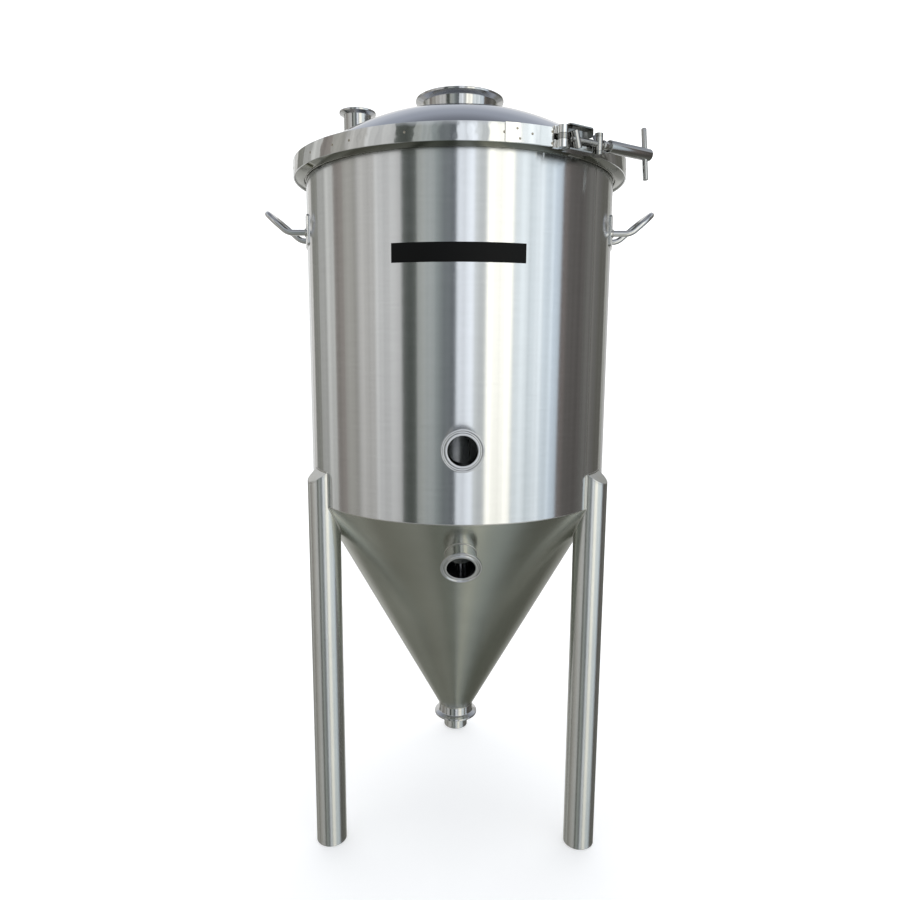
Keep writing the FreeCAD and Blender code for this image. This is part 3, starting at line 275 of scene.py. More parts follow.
def rounded(profile, radius, steps=3, skip=()):
    """Round a closed polygon's corners. radius may be one number or one per corner."""
    out = []
    n = len(profile)
    for i in range(n):
        p0, p1, p2 = Vector(profile[i - 1]), Vector(profile[i]), Vector(profile[(i + 1) % n])
        r = radius[i] if isinstance(radius, (list, tuple)) else radius
        a, b = p0 - p1, p2 - p1
        if r <= 0 or a.length < 1e-9 or b.length < 1e-9:
            out.append(tuple(p1))
            continue
        half = a.angle(b) / 2
        cut = min(r / max(math.tan(half), 1e-3), a.length * 0.45, b.length * 0.45)
        s, e = p1 + a.normalized() * cut, p1 + b.normalized() * cut
        for k in range(steps + 1):
            t = k / steps
            q = s * (1 - t) ** 2 + p1 * 2 * t * (1 - t) + e * t * t
            out.append(tuple(q))
    return out


def lathe(name, profile, seg=180, az=None, mat=None, smooth=25.0):
    """Turn a closed profile of (radius, z) in mm about Z. az = (from, to) in degrees from -Y towards +X."""
    verts, faces = [], []
    n = len(profile)
    full = az is None
    a0, a1 = (0.0, 360.0) if full else az
    steps = seg if full else max(2, int(seg * abs(a1 - a0) / 360.0))
    rings = steps if full else steps + 1
    for i in range(rings):
        a = math.radians(a0 + (a1 - a0) * i / steps)
        s, c = math.sin(a), -math.cos(a)
        for r, z in profile:
            verts.append((r * s * MM, r * c * MM, z * MM))
    for i in range(steps):
        j = (i + 1) % rings
        for k in range(n):
            m = (k + 1) % n
            faces.append((i * n + k, j * n + k, j * n + m, i * n + m))
    if not full:
        faces.append(tuple(range(n)))
        faces.append(tuple((rings - 1) * n + k for k in reversed(range(n))))
    return obj_from(name, verts, faces, mat, smooth)


def drop_axis(ob):
    """Merge the points of a turned profile that lie on the axis."""
    bm = bmesh.new()
    bm.from_mesh(ob.data)
    bmesh.ops.remove_doubles(bm, verts=bm.verts, dist=1e-7)
    bmesh.ops.dissolve_degenerate(bm, dist=1e-8, edges=bm.edges)
    bm.to_mesh(ob.data)
    bm.free()
    finish_mesh(ob)
    return ob


def tube(name, points, radius, mat, seg=24, closed=False, ripple=0.0, pitch=1.6, squash=1.0, up=None):
    """A round bar along points (mm). ripple adds the ridges of a weld bead."""
    pts = [Vector(p) for p in points]
    n = len(pts)
    verts, faces = [], []
    side = None
    dist = 0.0
    for i, p in enumerate(pts):
        a = pts[i - 1] if (i > 0 or closed) else pts[i]
        b = pts[(i + 1) % n] if (i < n - 1 or closed) else pts[i]
        t = (b - a).normalized()
        if side is None:
            ref = Vector(up) if up else (Vector((0, 0, 1)) if abs(t.z) < 0.9 else Vector((1, 0, 0)))
            side = (ref - t * ref.dot(t)).normalized()
        else:
            side = (side - t * side.dot(t)).normalized()
        other = t.cross(side)
        if i:
            dist += (p - pts[i - 1]).length
        r = radius * (1 + ripple * (abs(math.sin(math.pi * dist / pitch)) - 0.6))
        for k in range(seg):
            w = 2 * math.pi * k / seg
            verts.append((p + side * math.cos(w) * r + other * math.sin(w) * r * squash) * MM)
    for i in range(n if closed else n - 1):
        j = (i + 1) % n
        for k in range(seg):
            m = (k + 1) % seg
            faces.append((i * seg + k, i * seg + m, j * seg + m, j * seg + k))
    if not closed:
        faces.append(tuple(range(seg)))
        faces.append(tuple((n - 1) * seg + k for k in reversed(range(seg))))
    return obj_from(name, verts, faces, mat, 40)


def solid_box(name, lo, hi, mat, bevel=0.3, segs=2):
    (x0, y0, z0), (x1, y1, z1) = lo, hi
    v = [(x * MM, y * MM, z * MM) for x in (x0, x1) for y in (y0, y1) for z in (z0, z1)]
    f = [(0, 1, 3, 2), (4, 6, 7, 5), (0, 4, 5, 1), (2, 3, 7, 6), (0, 2, 6, 4), (1, 5, 7, 3)]
    ob = obj_from(name, v, f, mat)
    soften(ob, bevel, segs)
    return ob


def soften(ob, width=0.3, segs=2, angle=35.0):
    m = ob.modifiers.new("edge", "BEVEL")
    m.width = width * MM
    m.segments = segs
    m.limit_method = "ANGLE"
    m.angle_limit = math.radians(angle)
    m.harden_normals = True
    m.use_clamp_overlap = True
    apply_mods(ob)


def apply_mods(ob):
    bpy.context.view_layer.update()
    dg = bpy.context.evaluated_depsgraph_get()
    me = bpy.data.meshes.new_from_object(ob.evaluated_get(dg), preserve_all_data_layers=True, depsgraph=dg)
    ob.modifiers.clear()
    ob.data = me


def boolean(ob, cutter, op="DIFFERENCE"):
    m = ob.modifiers.new("cut", "BOOLEAN")
    m.object = cutter
    m.operation = op
    m.solver = "EXACT"
    apply_mods(ob)
    bpy.data.objects.remove(cutter)
    return ob


def from_node(node, bevel=0.25, dissolve=2.0, smooth=30.0, segs=2):
    """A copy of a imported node's mesh with clean flats and softened edges."""
    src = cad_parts[node]
    me = src.data.copy()
    ob = bpy.data.objects.new("v_" + node, me)
    scene.collection.objects.link(ob)
    me.materials.clear()
    bm = bmesh.new()
    bm.from_mesh(me)
    bmesh.ops.remove_doubles(bm, verts=bm.verts, dist=2e-6)
    bmesh.ops.dissolve_limit(bm, angle_limit=math.radians(dissolve), verts=bm.verts, edges=bm.edges)
    bm.to_mesh(me)
    bm.free()
    finish_mesh(ob, smooth)
    if bevel:
        soften(ob, bevel, segs)
    return ob


def set_normals(ob, func):
    """Exact normals for turned walls: func(position, face normal) gives a normal or None."""
    me = ob.data
    me.update()
    normals = []
    corner = [tuple(c.vector) for c in me.corner_normals]
    for p in me.polygons:
        fn = p.normal
        for li in p.loop_indices:
            co = me.vertices[me.loops[li].vertex_index].co
            n = func(co, fn)
            normals.append(tuple(n) if n is not None else corner[li])
    me.normals_split_custom_set(normals)


def round_wall(cx=0.0, cy=0.0, tilt=0.0, limit=0.9):
    """Normals of an upright round wall about (cx, cy) in metres; tilt is the wall's lean in radians."""
    def f(co, fn):
        d = Vector((co.x - cx, co.y - cy, 0))
        if d.length < 1e-6:
            return None
        d.normalize()
        want = Vector((d.x * math.cos(tilt), d.y * math.cos(tilt), -math.sin(tilt)))
        k = want.dot(fn)
        if k > limit:
            return want
        if k < -limit:
            return -want
        return None
    return f


def dress(ob, slot, node, body, mat=None):
    """Give a piece its material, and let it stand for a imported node."""
    ob.data.materials.clear()
    ob.data.materials.append(mat or M[slot])
    for n in ([node] if isinstance(node, str) else (node or [])):
        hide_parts(n)
    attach(ob, body)
    return ob


def extra(ob, body):
    """A detail that rides with a body and adds to what its node shows."""
    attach(ob, body)
    return ob


def turn(ob, az):
    ob.matrix_world = Matrix.Rotation(math.radians(az), 4, "Z") @ ob.matrix_world
    return ob


def lay(ob, pos, axis):
    """Point a piece's own +Z along axis, with its origin at pos (mm)."""
    q = Vector((0, 0, 1)).rotation_difference(Vector(axis))
    ob.matrix_world = Matrix.Translation(Vector(pos) * MM) @ q.to_matrix().to_4x4()
    return ob


def at(r, az, z):
    a = math.radians(az)
    return Vector((r * math.sin(a), -r * math.cos(a), z))


# ------------------------------------------------------------------ sizes (mm)
R, WALL = 207.5, 1.5
ZM = 788.75
CONE_TOP, CONE_END = 352.6, 17.2
HALF = math.radians(28.5)
PORT = 1.5
tanh = math.tan(HALF)
CONE_DROP = WALL / math.sin(HALF)

# ------------------------------------------------------------------ tank wall
wall = lathe("v_tank_shell", [(R - WALL, CONE_TOP), (R, CONE_TOP), (R, ZM - 10.35), (R - WALL, ZM - 10.35)], 360)
hole = lathe("hole", [(0.001, -40), (19.05, -40), (19.05, 40), (0.001, 40)], 96)
lay(hole, at(R, PORT, 444.7), at(1, PORT, 0))
boolean(wall, hole)
for p in wall.data.polygons:
    p.use_smooth = True
wall.data.set_sharp_from_angle(angle=math.radians(30))
set_normals(wall, round_wall(limit=0.98))
dress(wall, "tank_steel", ("tank_shell", "tank_shell_front"), "tank")

# seam weld up the right of the wall, ground nearly flush
seam_az = 52.5
seam = lathe("v_seam", rounded([(R - 0.2, CONE_TOP + 1), (R + 0.12, CONE_TOP + 1), (R + 0.12, ZM - 10.9), (R - 0.2, ZM - 10.9)], 0.05),
             360 * 6, az=(seam_az, seam_az + 0.35))
seam.data.materials.append(WELD)
extra(seam, "tank")

# rim, gasket
rim = lathe("v_tank_rim", rounded([(206, ZM - 10.35), (208.6, ZM - 10.35), (219, ZM - 6.55), (219, ZM - 1.6), (206, ZM - 1.6)],
                                  [0.2, 0.8, 1.0, 0.6, 0.2]), 256)
dress(rim, "rim_steel", "tank_rim_flange", "tank")
gask = lathe("v_gasket", rounded([(206, ZM - 1.6), (217, ZM - 1.6), (217, ZM + 1.5), (206, ZM + 1.5)], 0.4), 256)
dress(gask, "gasket_silicone", "lid_gasket", "tank")

# ------------------------------------------------------------------ cone
inr = R - CONE_DROP * tanh
cone = lathe("v_cone", [(inr, CONE_TOP), (R, CONE_TOP), (25.4, CONE_END), (23.75, CONE_END), (23.75, CONE_END + 0.1)], 360)
rack_foot = at(183.9, PORT, CONE_TOP - 23.6 / tanh)
rack_dir = Vector((math.cos(HALF) * math.sin(math.radians(PORT)), -math.cos(HALF) * math.cos(math.radians(PORT)), -math.sin(HALF)))
hole = lathe("hole", [(0.001, -30), (19.05, -30), (19.05, 30), (0.001, 30)], 96)
lay(hole, rack_foot, rack_dir)
boolean(cone, hole)
for p in cone.data.polygons:
    p.use_smooth = True
cone.data.set_sharp_from_angle(angle=math.radians(30))
set_normals(cone, round_wall(tilt=HALF, limit=0.98))
dress(cone, "cone_steel", "cone", "tank")


def ring_bead(name, r, z, size, mat=WELD, squash=1.0):
    pts = [at(r, k * 360.0 / 900, z) for k in range(900)]
    return tube(name, pts, size, mat, 8, closed=True, ripple=0.12, pitch=2.4)


extra(ring_bead("v_weld_cone", R - 0.45, CONE_TOP, 0.85), "tank")
extra(ring_bead("v_weld_outlet", 25.2, CONE_END, 0.7), "tank")
extra(ring_bead("v_weld_rim", R + 0.1, ZM - 10.6, 0.7), "tank")


# ------------------------------------------------------------------ ferrules
def ferrule_profile(fr, tr, br, gr, length, low=None):
    """Face at z=0, tube down to -length."""
    back = (fr - tr) * math.tan(math.radians(20))
    e = 2.85
    pts = [(br, -length), (tr, -length), (tr, -e - back), (fr, -e), (fr, 0), (gr + 1.6, 0), (gr + 0.8, -1.4),
           (gr - 0.8, -1.4), (gr - 1.6, 0), (br, 0)]
    rad = [0.1, 0.1, 1.6, 0.7, 0.7, 0.3, 0.7, 0.7, 0.3, 0.4]
    return rounded(pts, rad, 4)


KINDS = {"tc15": (25.25, 19.05, 17.4, 21.75), "tc2": (32.0, 25.4, 23.75, 28.15), "tc4": (59.5, 50.8, 48.7, 55.2)}


def ferrule(name, kind, length, pos, axis, node, body, trim=None):
    ob = lathe(name, ferrule_profile(*KINDS[kind], length), 144, smooth=35)
    lay(ob, pos, axis)
    if trim is not None:
        bpy.context.view_layer.update()
        boolean(ob, trim)
        for p in ob.data.polygons:
            p.use_smooth = True
        ob.data.set_sharp_from_angle(angle=math.radians(35))
    return dress(ob, "ferrule_steel", node, body)


ferrule("v_outlet", "tc2", 17.2, (0, 0, 0), (0, 0, -1), "outlet_ferrule", "tank")
trim = lathe("trim", [(0.001, 400), (R - WALL, 400), (R - WALL, 480), (0.001, 480)], 360)
ferrule("v_front_port", "tc15", 27.5, at(229, PORT, 444.7), at(1, PORT, 0), "front_port_ferrule", "tank", trim)
z0 = 240.0
trim = lathe("trim", [(0.001, z0), (R - (CONE_TOP - z0 + CONE_DROP) * tanh, z0), (inr, CONE_TOP), (0.001, CONE_TOP)], 360)
ferrule("v_racking_port", "tc15", 37.0, rack_foot + rack_dir * 23.0, rack_dir, "racking_port_ferrule", "tank", trim)


def coped_bead(name, centre, axis, rad, surface, size, body, n=240):
    """Weld bead where a tube of radius rad along axis meets a surface: surface(point, axis) slides the point onto it."""
    ax = Vector(axis).normalized()
    u = ax.orthogonal().normalized()
    v = ax.cross(u)
    pts = []
    for k in range(n):
        w = 2 * math.pi * k / n
        pts.append(surface(Vector(centre) + (u * math.cos(w) + v * math.sin(w)) * rad, ax))
    return extra(tube(name, pts, size, WELD, 8, closed=True, ripple=0.2, pitch=1.8), body)


def on_wall(p, ax):
    """Slide p along ax to the tank's outside."""
    for _ in range(30):
        r = math.hypot(p.x, p.y)
        g = (p.x * ax.x + p.y * ax.y) / r
        p = p - ax * ((r - R) / g)
    return p


def on_cone(p, ax):
    for _ in range(40):
        r = math.hypot(p.x, p.y)
        err = (r - (R - (CONE_TOP - p.z) * tanh)) * math.cos(HALF)
        g = (p.x * ax.x + p.y * ax.y) / r * math.cos(HALF) - ax.z * math.sin(HALF)
        p = p - ax * (err / g)
    return p


def on_dome(p, ax):
    c = Vector((0, 0, 533.0))
    for _ in range(30):
        d = p - c
        p = p - ax * ((d.length - 337.8) / d.normalized().dot(ax))
    return p


coped_bead("v_weld_front", at(R, PORT, 444.7), at(1, PORT, 0), 19.3, on_wall, 0.9, "tank")
coped_bead("v_weld_racking", rack_foot, rack_dir, 19.3, on_cone, 0.9, "tank")

# ------------------------------------------------------------------ lid
outer = [(219, ZM + 1.6), (219, ZM + 6.55), (212.7, ZM + 8.85), (206, ZM + 8.85), (206, ZM + 1.6)]
lid_rim = lathe("v_lid_rim", rounded(outer, [0.6, 1.0, 0.1, 0.1, 0.2]), 256)
dress(lid_rim, "rim_steel", "lid_rim", "lid")
prof = []
a0, a1 = math.atan2(math.sqrt(337.8 ** 2 - 204.0 ** 2), 204.0), math.atan2(math.sqrt(337.8 ** 2 - 50.8 ** 2), 50.8)
for k in range(49):
    a = a0 + (a1 - a0) * k / 48
    prof.append((337.8 * math.cos(a), 533 + 337.8 * math.sin(a)))
for k in range(49):
    a = a1 + (a0 - a1) * k / 48
    prof.append((336.3 * math.cos(a) if k else 50.8, 533 + 336.3 * math.sin(a)))
prof += [(206, ZM + 8.85), (212.7, ZM + 8.85), (212.3, ZM + 9.2), (209.1, ZM + 10.3), (208.2, ZM + 10.75)]
dome = lathe("v_lid_dome", prof, 360, smooth=30)
sx, sy = 143 * math.sin(math.radians(-98)), -143 * math.cos(math.radians(-98))
hole = lathe("hole", [(0.001, 700), (19.05, 700), (19.05, 960), (0.001, 960)], 96)
hole.matrix_world = Matrix.Translation((sx * MM, sy * MM, 0))
boolean(dome, hole)
for p in dome.data.polygons:
    p.use_smooth = True
dome.data.set_sharp_from_angle(angle=math.radians(30))


def dome_normals(co, fn):
    d = Vector((co.x, co.y, co.z - 0.533))
    if abs(d.length - 0.3378) < 2e-4 and fn.dot(d.normalized()) > 0.97:
        return d.normalized()
    if abs(d.length - 0.3363) < 2e-4 and fn.dot(d.normalized()) < -0.97:
        return -d.normalized()
    return None


set_normals(dome, dome_normals)
dress(dome, "dome_steel", "lid_dome", "lid")

trim = lathe("trim", [(336.3 * math.cos(math.radians(t)) + (0.001 if t == 90 else 0), 336.3 * math.sin(math.radians(t)))
                      for t in list(range(40, 91, 1))] + [(0.001, 100)], 180)
trim.matrix_world = Matrix.Translation((0, 0, 0.533))
ferrule("v_lid_port", "tc4", 26.0, (0, 0, 889), (0, 0, 1), "lid_centre_ferrule", "lid", trim)
trim = lathe("trim", [(336.3 * math.cos(math.radians(t)) + (0.001 if t == 90 else 0), 336.3 * math.sin(math.radians(t)))
                      for t in list(range(40, 91, 1))] + [(0.001, 100)], 180)
trim.matrix_world = Matrix.Translation((0, 0, 0.533))
ferrule("v_lid_side", "tc15", 60.0, (sx, sy, 880.4), (0, 0, 1), "lid_side_ferrule", "lid", trim)
coped_bead("v_weld_lid_port", (0, 0, 870), (0, 0, 1), 51.0, on_dome, 0.8, "lid", 400)
coped_bead("v_weld_side", (sx, sy, 850), (0, 0, 1), 19.3, on_dome, 0.8, "lid")

# ------------------------------------------------------------------ legs
LEGS = (("left", -60.0), ("right", 60.0), ("rear", 180.0))
for who, az in LEGS:
    c = at(204.3, az, 0) * MM
    ob = from_node("leg_" + who, bevel=0, dissolve=0.02)
    # the piece's own axis is the leg's axis, so that its grain runs round it
    ob.data.transform(Matrix.Translation((-c.x, -c.y, 0)))
    ob.matrix_world = Matrix.Translation((c.x, c.y, 0))
    set_normals(ob, round_wall(limit=0.9))
    dress(ob, "leg_steel", "leg_" + who, "tank")
    ob = from_node("leg_cap_" + who, bevel=0.4)
    dress(ob, "leg_steel", "leg_cap_" + who, "tank")
    ob = lathe("v_foot_" + who, rounded([(0.001, -140), (20.4, -140), (21.2, -139.2), (21.2, -137), (0.001, -137)], [0, .3, .3, .1, 0]), 96)
    drop_axis(ob)
    ob.matrix_world = Matrix.Translation((c.x, c.y, 0))
    dress(ob, "leg_steel", "foot_plate_" + who, "tank")
    # weld bead round the cope: down one side of the wall, round under the cone, up the other side
    pts = []
    rr = 21.2
    top_z = 396.0
    for k in range(0, 241):
        t = math.radians(-180 + 360.0 * k / 240)
        # local: y towards the tank
        lx, ly = rr * math.sin(t), rr * math.cos(t)
        px, py = lx, -204.3 + ly
        r = math.hypot(px, py)
        if r > R:
            continue
        z = CONE_TOP - (R - r) / tanh
        pts.append(Vector((px, py, z)))
    if pts:
        first, last = pts[0], pts[-1]
        n_up = 50
        a = [Vector((first.x, first.y, top_z - (top_z - first.z) * q / n_up)) for q in range(n_up)]
        b = [Vector((last.x, last.y, last.z + (top_z - last.z) * (q + 1) / n_up)) for q in range(n_up)]
        ob = tube("v_weld_leg_" + who, a + pts + b, 1.15, WELD, 10, ripple=0.22, pitch=2.2)
        turn(ob, az)
        extra(ob, "tank")
    # bead over the cap's joint with the wall
    arc = []
    slope = math.atan2(537.4 - 524.6, 225.5 - R)
    for k in range(33):
        lx = -20.6 + 41.2 * k / 32
        py = -math.sqrt(R * R - lx * lx)
        z = 397.4 - (-R - py) * -math.tan(slope) * -1
        arc.append(Vector((lx, py - 0.2, 397.4 + (py + R) * math.tan(slope))))
    ob = tube("v_weld_cap_" + who, arc, 1.0, WELD, 10, ripple=0.2, pitch=2.2)
    turn(ob, az)
    extra(ob, "tank")

# ------------------------------------------------------------------ carrying handles
for who, sgn in (("left", -1), ("right", 1)):
    az = 90.0 * sgn
    ob = from_node("handle_pad_" + who, bevel=0.6, segs=3)
    set_normals(ob, round_wall(limit=0.985))
    dress(ob, "grip_steel", "handle_pad_" + who, "tank")
    half, up = 40.4, math.atan2(27.8, 31.7)
    e = Vector((0, -math.cos(up), math.sin(up)))
    low, end = 20.0, 26.0
    length = math.hypot(31.7, 27.8)
    path = []
    corner = Vector((half, -229.6, 710.3))
    back = low * math.tan(up / 2)
    face = math.sqrt(209.5 ** 2 - half ** 2)
    path.append(Vector((half, -face + 1.2, 710.3)))
    path.append(Vector((half, -face - 1.0, 710.3)))
    path.append(Vector((half, -face - 4.0, 710.3)))
    a1, a2 = corner + Vector((0, back, 0)), corner + e * back
    nrm = Vector((0, math.sin(up), math.cos(up)))
    cen = a1 + Vector((0, 0, low))
    for k in range(0, 9):
        t = up * k / 8
        path.append(cen + Vector((0, -math.sin(t), -math.cos(t))) * low)
    b1 = corner + e * (length - end)
    path.append(b1)
    c1 = b1 - Vector((end, 0, 0))
    for k in range(1, 17):
        t = math.pi / 2 * k / 16
        path.append(c1 + Vector((math.cos(t), 0, 0)) * end + e * (math.sin(t) * end))
    mirror = [Vector((-p.x, p.y, p.z)) for p in reversed(path)]
    ob = tube("v_handle_rod_" + who, path + mirror, 4.0, None, 40)
    turn(ob, az)
    dress(ob, "grip_steel", "handle_rod_" + who, "tank")
    for q in (-1, 1):
        pts = []
        for k in range(60):
            w = 2 * math.pi * k / 60
            wx, wz = 4.5 * math.cos(w) + q * half, 4.5 * math.sin(w) + 710.3
            pts.append(Vector((wx, -math.sqrt(209.5 ** 2 - wx ** 2) - 0.2, wz)))
        ob = tube("v_weld_rod_%s_%d" % (who, q), pts, 1.0, WELD, 10, closed=True, ripple=0.2, pitch=1.8)
        turn(ob, az)
        extra(ob, "tank")

# ------------------------------------------------------------------ name plate, left blank
lab = lathe("v_label", rounded([(R, 654.9), (R + 0.5, 654.9), (R + 0.5, 676.6), (R, 676.6)], 0.12), 720, az=(-21.6, 21.6))
dress(lab, "label_black", "blank_label", "tank")

# ------------------------------------------------------------------ band
STRAP = rounded([(222.0, ZM - 10.05), (223.5, ZM - 10.05), (223.5, ZM + 10.05), (222.0, ZM + 10.05)], 0.35)
dress(lathe("v_strap_left", STRAP, 360, az=(-142.5, 26.5)), "band_steel", "band_strap_left", "tank")
dress(lathe("v_strap_right", STRAP, 360, az=(44.5, 214.5)), "band_steel", "band_strap_right", "band_right")
RET = rounded([(222, ZM - 7.75), (222, ZM + 7.75), (210.11, ZM + 12.08), (209.6, ZM + 10.67), (220.5, ZM + 6.7), (220.5, ZM - 6.7),
               (209.6, ZM - 10.67), (210.11, ZM - 12.08)], [1.6, 1.6, 0.4, 0.4, 0.8, 0.8, 0.4, 0.4], 4)
for name, a0, a1, body in (("left_front", -55, 36, "tank"), ("left_rear", -139, -59, "tank"),
                           ("right_front", 43.5, 126, "band_right"), ("right_rear", 130, 212, "band_right")):
    dress(lathe("v_retainer_" + name, RET, 300, az=(a0, a1)), "retainer_steel", "retainer_" + name, body)


def spot(name, az, z, r, body, size=1.35):
    """A spot weld's shallow print: a low ring round a sunk middle."""
    prof_s = [(0.001, 0.05), (size * 0.55, 0.05), (size * 0.8, 0.22), (size, 0.2), (size * 1.15, -0.3), (0.001, -0.3)]
    ob = drop_axis(lathe(name, prof_s, 24, smooth=60))
    ob.data.materials.clear()
    ob.data.materials.append(SPOT)
    lay(ob, at(r, az, z), at(1, az, 0))
    return extra(ob, body)


DOTS = [(-33.5, ZM - 0.5, 223.5), (-40.4, ZM - 1.0, 223.5), (-52.5, ZM - 0.5, 223.5), (-75, ZM, 223.5), (-100, ZM, 223.5),
        (-125, ZM, 223.5), (-15.4, ZM, 223.5), (12.4, ZM, 223.5), (16.0, ZM + 4.0, 225.0), (16.8, ZM - 6.0, 225.0),
        (20.5, ZM, 225.0), (26.8, ZM + 5.0, 225.0), (26.8, ZM - 7.0, 225.0)]
for i, (az, z, r) in enumerate(DOTS):
    spot("v_spot_l%d" % i, az, z, r, "tank")
for i, az in enumerate((58, 75, 92, 110, 124, 140, 160, 185, 205)):
    spot("v_spot_r%d" % i, az, ZM, 223.5, "band_right")

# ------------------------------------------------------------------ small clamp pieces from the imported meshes
for node, slot, body, bev in (
    ("hinge_plate_left", "clamp_steel", "tank", 0.25), ("hinge_plate_right", "clamp_steel", "band_right", 0.25),
    ("hinge_pin", "clamp_steel", "tank", 0.25), ("loop_plate_left", "clamp_steel", "tank", 0.3),
    ("latch_pin", "clamp_steel", "tank", 0.1), ("latch_channel", "clamp_steel", "latch", 0.35),
    ("loop_plate_right", "clamp_steel", "band_right", 0.3), ("trunnion_pin", "bolt_steel", "trunnion", 0.25),
    ("bolt_barrel", "bolt_steel", "t_bolt", 0.2),
):
    ob = from_node(node, bevel=bev)
    # the left loop plate takes the lighter steel, a painted highlight; the right one keeps the clamp steel
    dress(ob, slot, node, body, M["plate_steel"] if node == "loop_plate_left" else None)

# ------------------------------------------------------------------ pieces along the bolt
phi = math.radians(33.9)
BD = Vector((math.cos(phi), math.sin(phi), 0))
BN = Vector((math.sin(phi), -math.cos(phi), 0))


def clamp_at(s, out=0.0, z=0.0):
    return BD * s + BN * (230.5 + out) + Vector((0, 0, 788.5 + z))


def along(ob):
    return lay(ob, clamp_at(0), BD)


# threaded bar
verts, faces = [], []
pitch, seg_t = 1.0, 32
length_t = 100.5
rings_t = int(length_t / pitch * 12)
for i in range(rings_t + 1):
    zz = -5.5 + length_t * i / rings_t
    for k in range(seg_t):
        w = 2 * math.pi * k / seg_t
        ph = (zz / pitch - k / seg_t) % 1.0
        d = abs(ph - 0.5) * 2
        fade = min(1.0, (zz + 5.5) / 0.6, (95 - zz) / 0.6)
        r = 3.0 - 0.42 * (1 - min(1.0, max(0.0, d * 1.35))) - (1 - max(fade, 0)) * 0.6
        verts.append((r * math.cos(w) * MM, r * math.sin(w) * MM, zz * MM))
for i in range(rings_t):
    for k in range(seg_t):
        m = (k + 1) % seg_t
        faces.append((i * seg_t + k, i * seg_t + m, (i + 1) * seg_t + m, (i + 1) * seg_t + k))
faces.append(tuple(reversed(range(seg_t))))
faces.append(tuple(rings_t * seg_t + k for k in range(seg_t)))
ob = obj_from("v_bolt_shank", verts, faces, None, 50)
dress(along(ob), "bolt_steel", "bolt_shank", "t_bolt")

nut = lathe("v_handle_nut", rounded([(3.05, 40.2), (4.3, 40.2), (5.2, 41.0), (5.5, 42.2), (5.2, 43.5), (4.6, 44.3), (4.6, 50.6), (3.05, 50.6)],
                                    [0.1, 0.3, 0.6, 0.8, 0.6, 0.3, 0.1, 0.1]), 64)
dress(along(nut), "bolt_steel", "handle_nut", "handle")
sl = rounded([(3.05, 50.6), (6.2, 50.6), (7.0, 51.4), (7.0, 118.0), (5.5, 119.5), (0.001, 119.5), (0.001, 106), (5, 106), (5, 56.6), (3.05, 56.6)],
             [0.1, 0.4, 0.6, 0.8, 0.8, 0, 0, 0, 0, 0])
sleeve = drop_axis(lathe("v_handle_sleeve", sl, 96))
dress(along(sleeve), "handle_steel", "handle_sleeve", "handle")
tee = drop_axis(lathe("v_tee_bar", rounded([(0.001, -30.3), (2.2, -30.3), (3.0, -29.5), (3.0, 29.5), (2.2, 30.3), (0.001, 30.3)],
                                           [0, 0.5, 0.5, 0.5, 0.5, 0], 4), 64))
lean = math.radians(6)
lay(tee, clamp_at(111.2), Vector((0, 0, math.cos(lean))) - BN * math.sin(lean))
dress(tee, "handle_steel", "tee_bar", "handle")

# ------------------------------------------------------------------ floor and backdrop
verts, faces = [], []
prof_b = [(-0.62, -0.1402)] + [(1.3 + 0.5 * math.sin(math.radians(t)), 0.3598 - 0.5 * math.cos(math.radians(t))) for t in range(0, 91, 6)] + [(1.8, 2.3)]
for y, z in prof_b:
    verts += [(-3.2, y, z), (3.2, y, z)]
for i in range(len(prof_b) - 1):
    faces.append((2 * i, 2 * i + 1, 2 * i + 3, 2 * i + 2))
me = bpy.data.meshes.new("floor")
me.from_pydata(verts, [], faces)
for p in me.polygons:
    p.use_smooth = True
floor = bpy.data.objects.new("floor", me)
scene.collection.objects.link(floor)
fm = bpy.data.materials.new("floor_paint")
nt = tree_of(fm)
N = Nodes(nt)
out = N.add("ShaderNodeOutputMaterial")
bs = N.add("ShaderNodeBsdfPrincipled")
bs.inputs["Base Color"].default_value = (0.86, 0.86, 0.86, 1)
bs.inputs["Roughness"].default_value = 0.8
bs.inputs["Emission Color"].default_value = (1, 1, 1, 1)
bs.inputs["Emission Strength"].default_value = 0.43
nt.links.new(bs.outputs[0], out.inputs[0])
me.materials.append(fm)
floor.visible_glossy = False
floor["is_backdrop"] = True

# ------------------------------------------------------------------ light: a room of upright light and dark panels
world = bpy.data.worlds.new("room")
scene.world = world
world.use_nodes = True
nt = world.node_tree
nt.nodes.clear()
N = Nodes(nt)
wo = N.add("ShaderNodeOutputWorld")
bg = N.add("ShaderNodeBackground")
nt.links.new(bg.outputs[0], wo.inputs[0])
tc = N.add("ShaderNodeTexCoord")
sep = N.add("ShaderNodeSeparateXYZ")
nt.links.new(tc.outputs["Generated"], sep.inputs[0])
x, y, z = sep.outputs
ang = N.math("ARCTAN2", x, N.math("MULTIPLY", y, -1.0))
turnv = N.math("ADD", N.math("DIVIDE", ang, 2 * math.pi), 0.5)
ramp = N.add("ShaderNodeValToRGB")
ramp.color_ramp.interpolation = "CONSTANT"
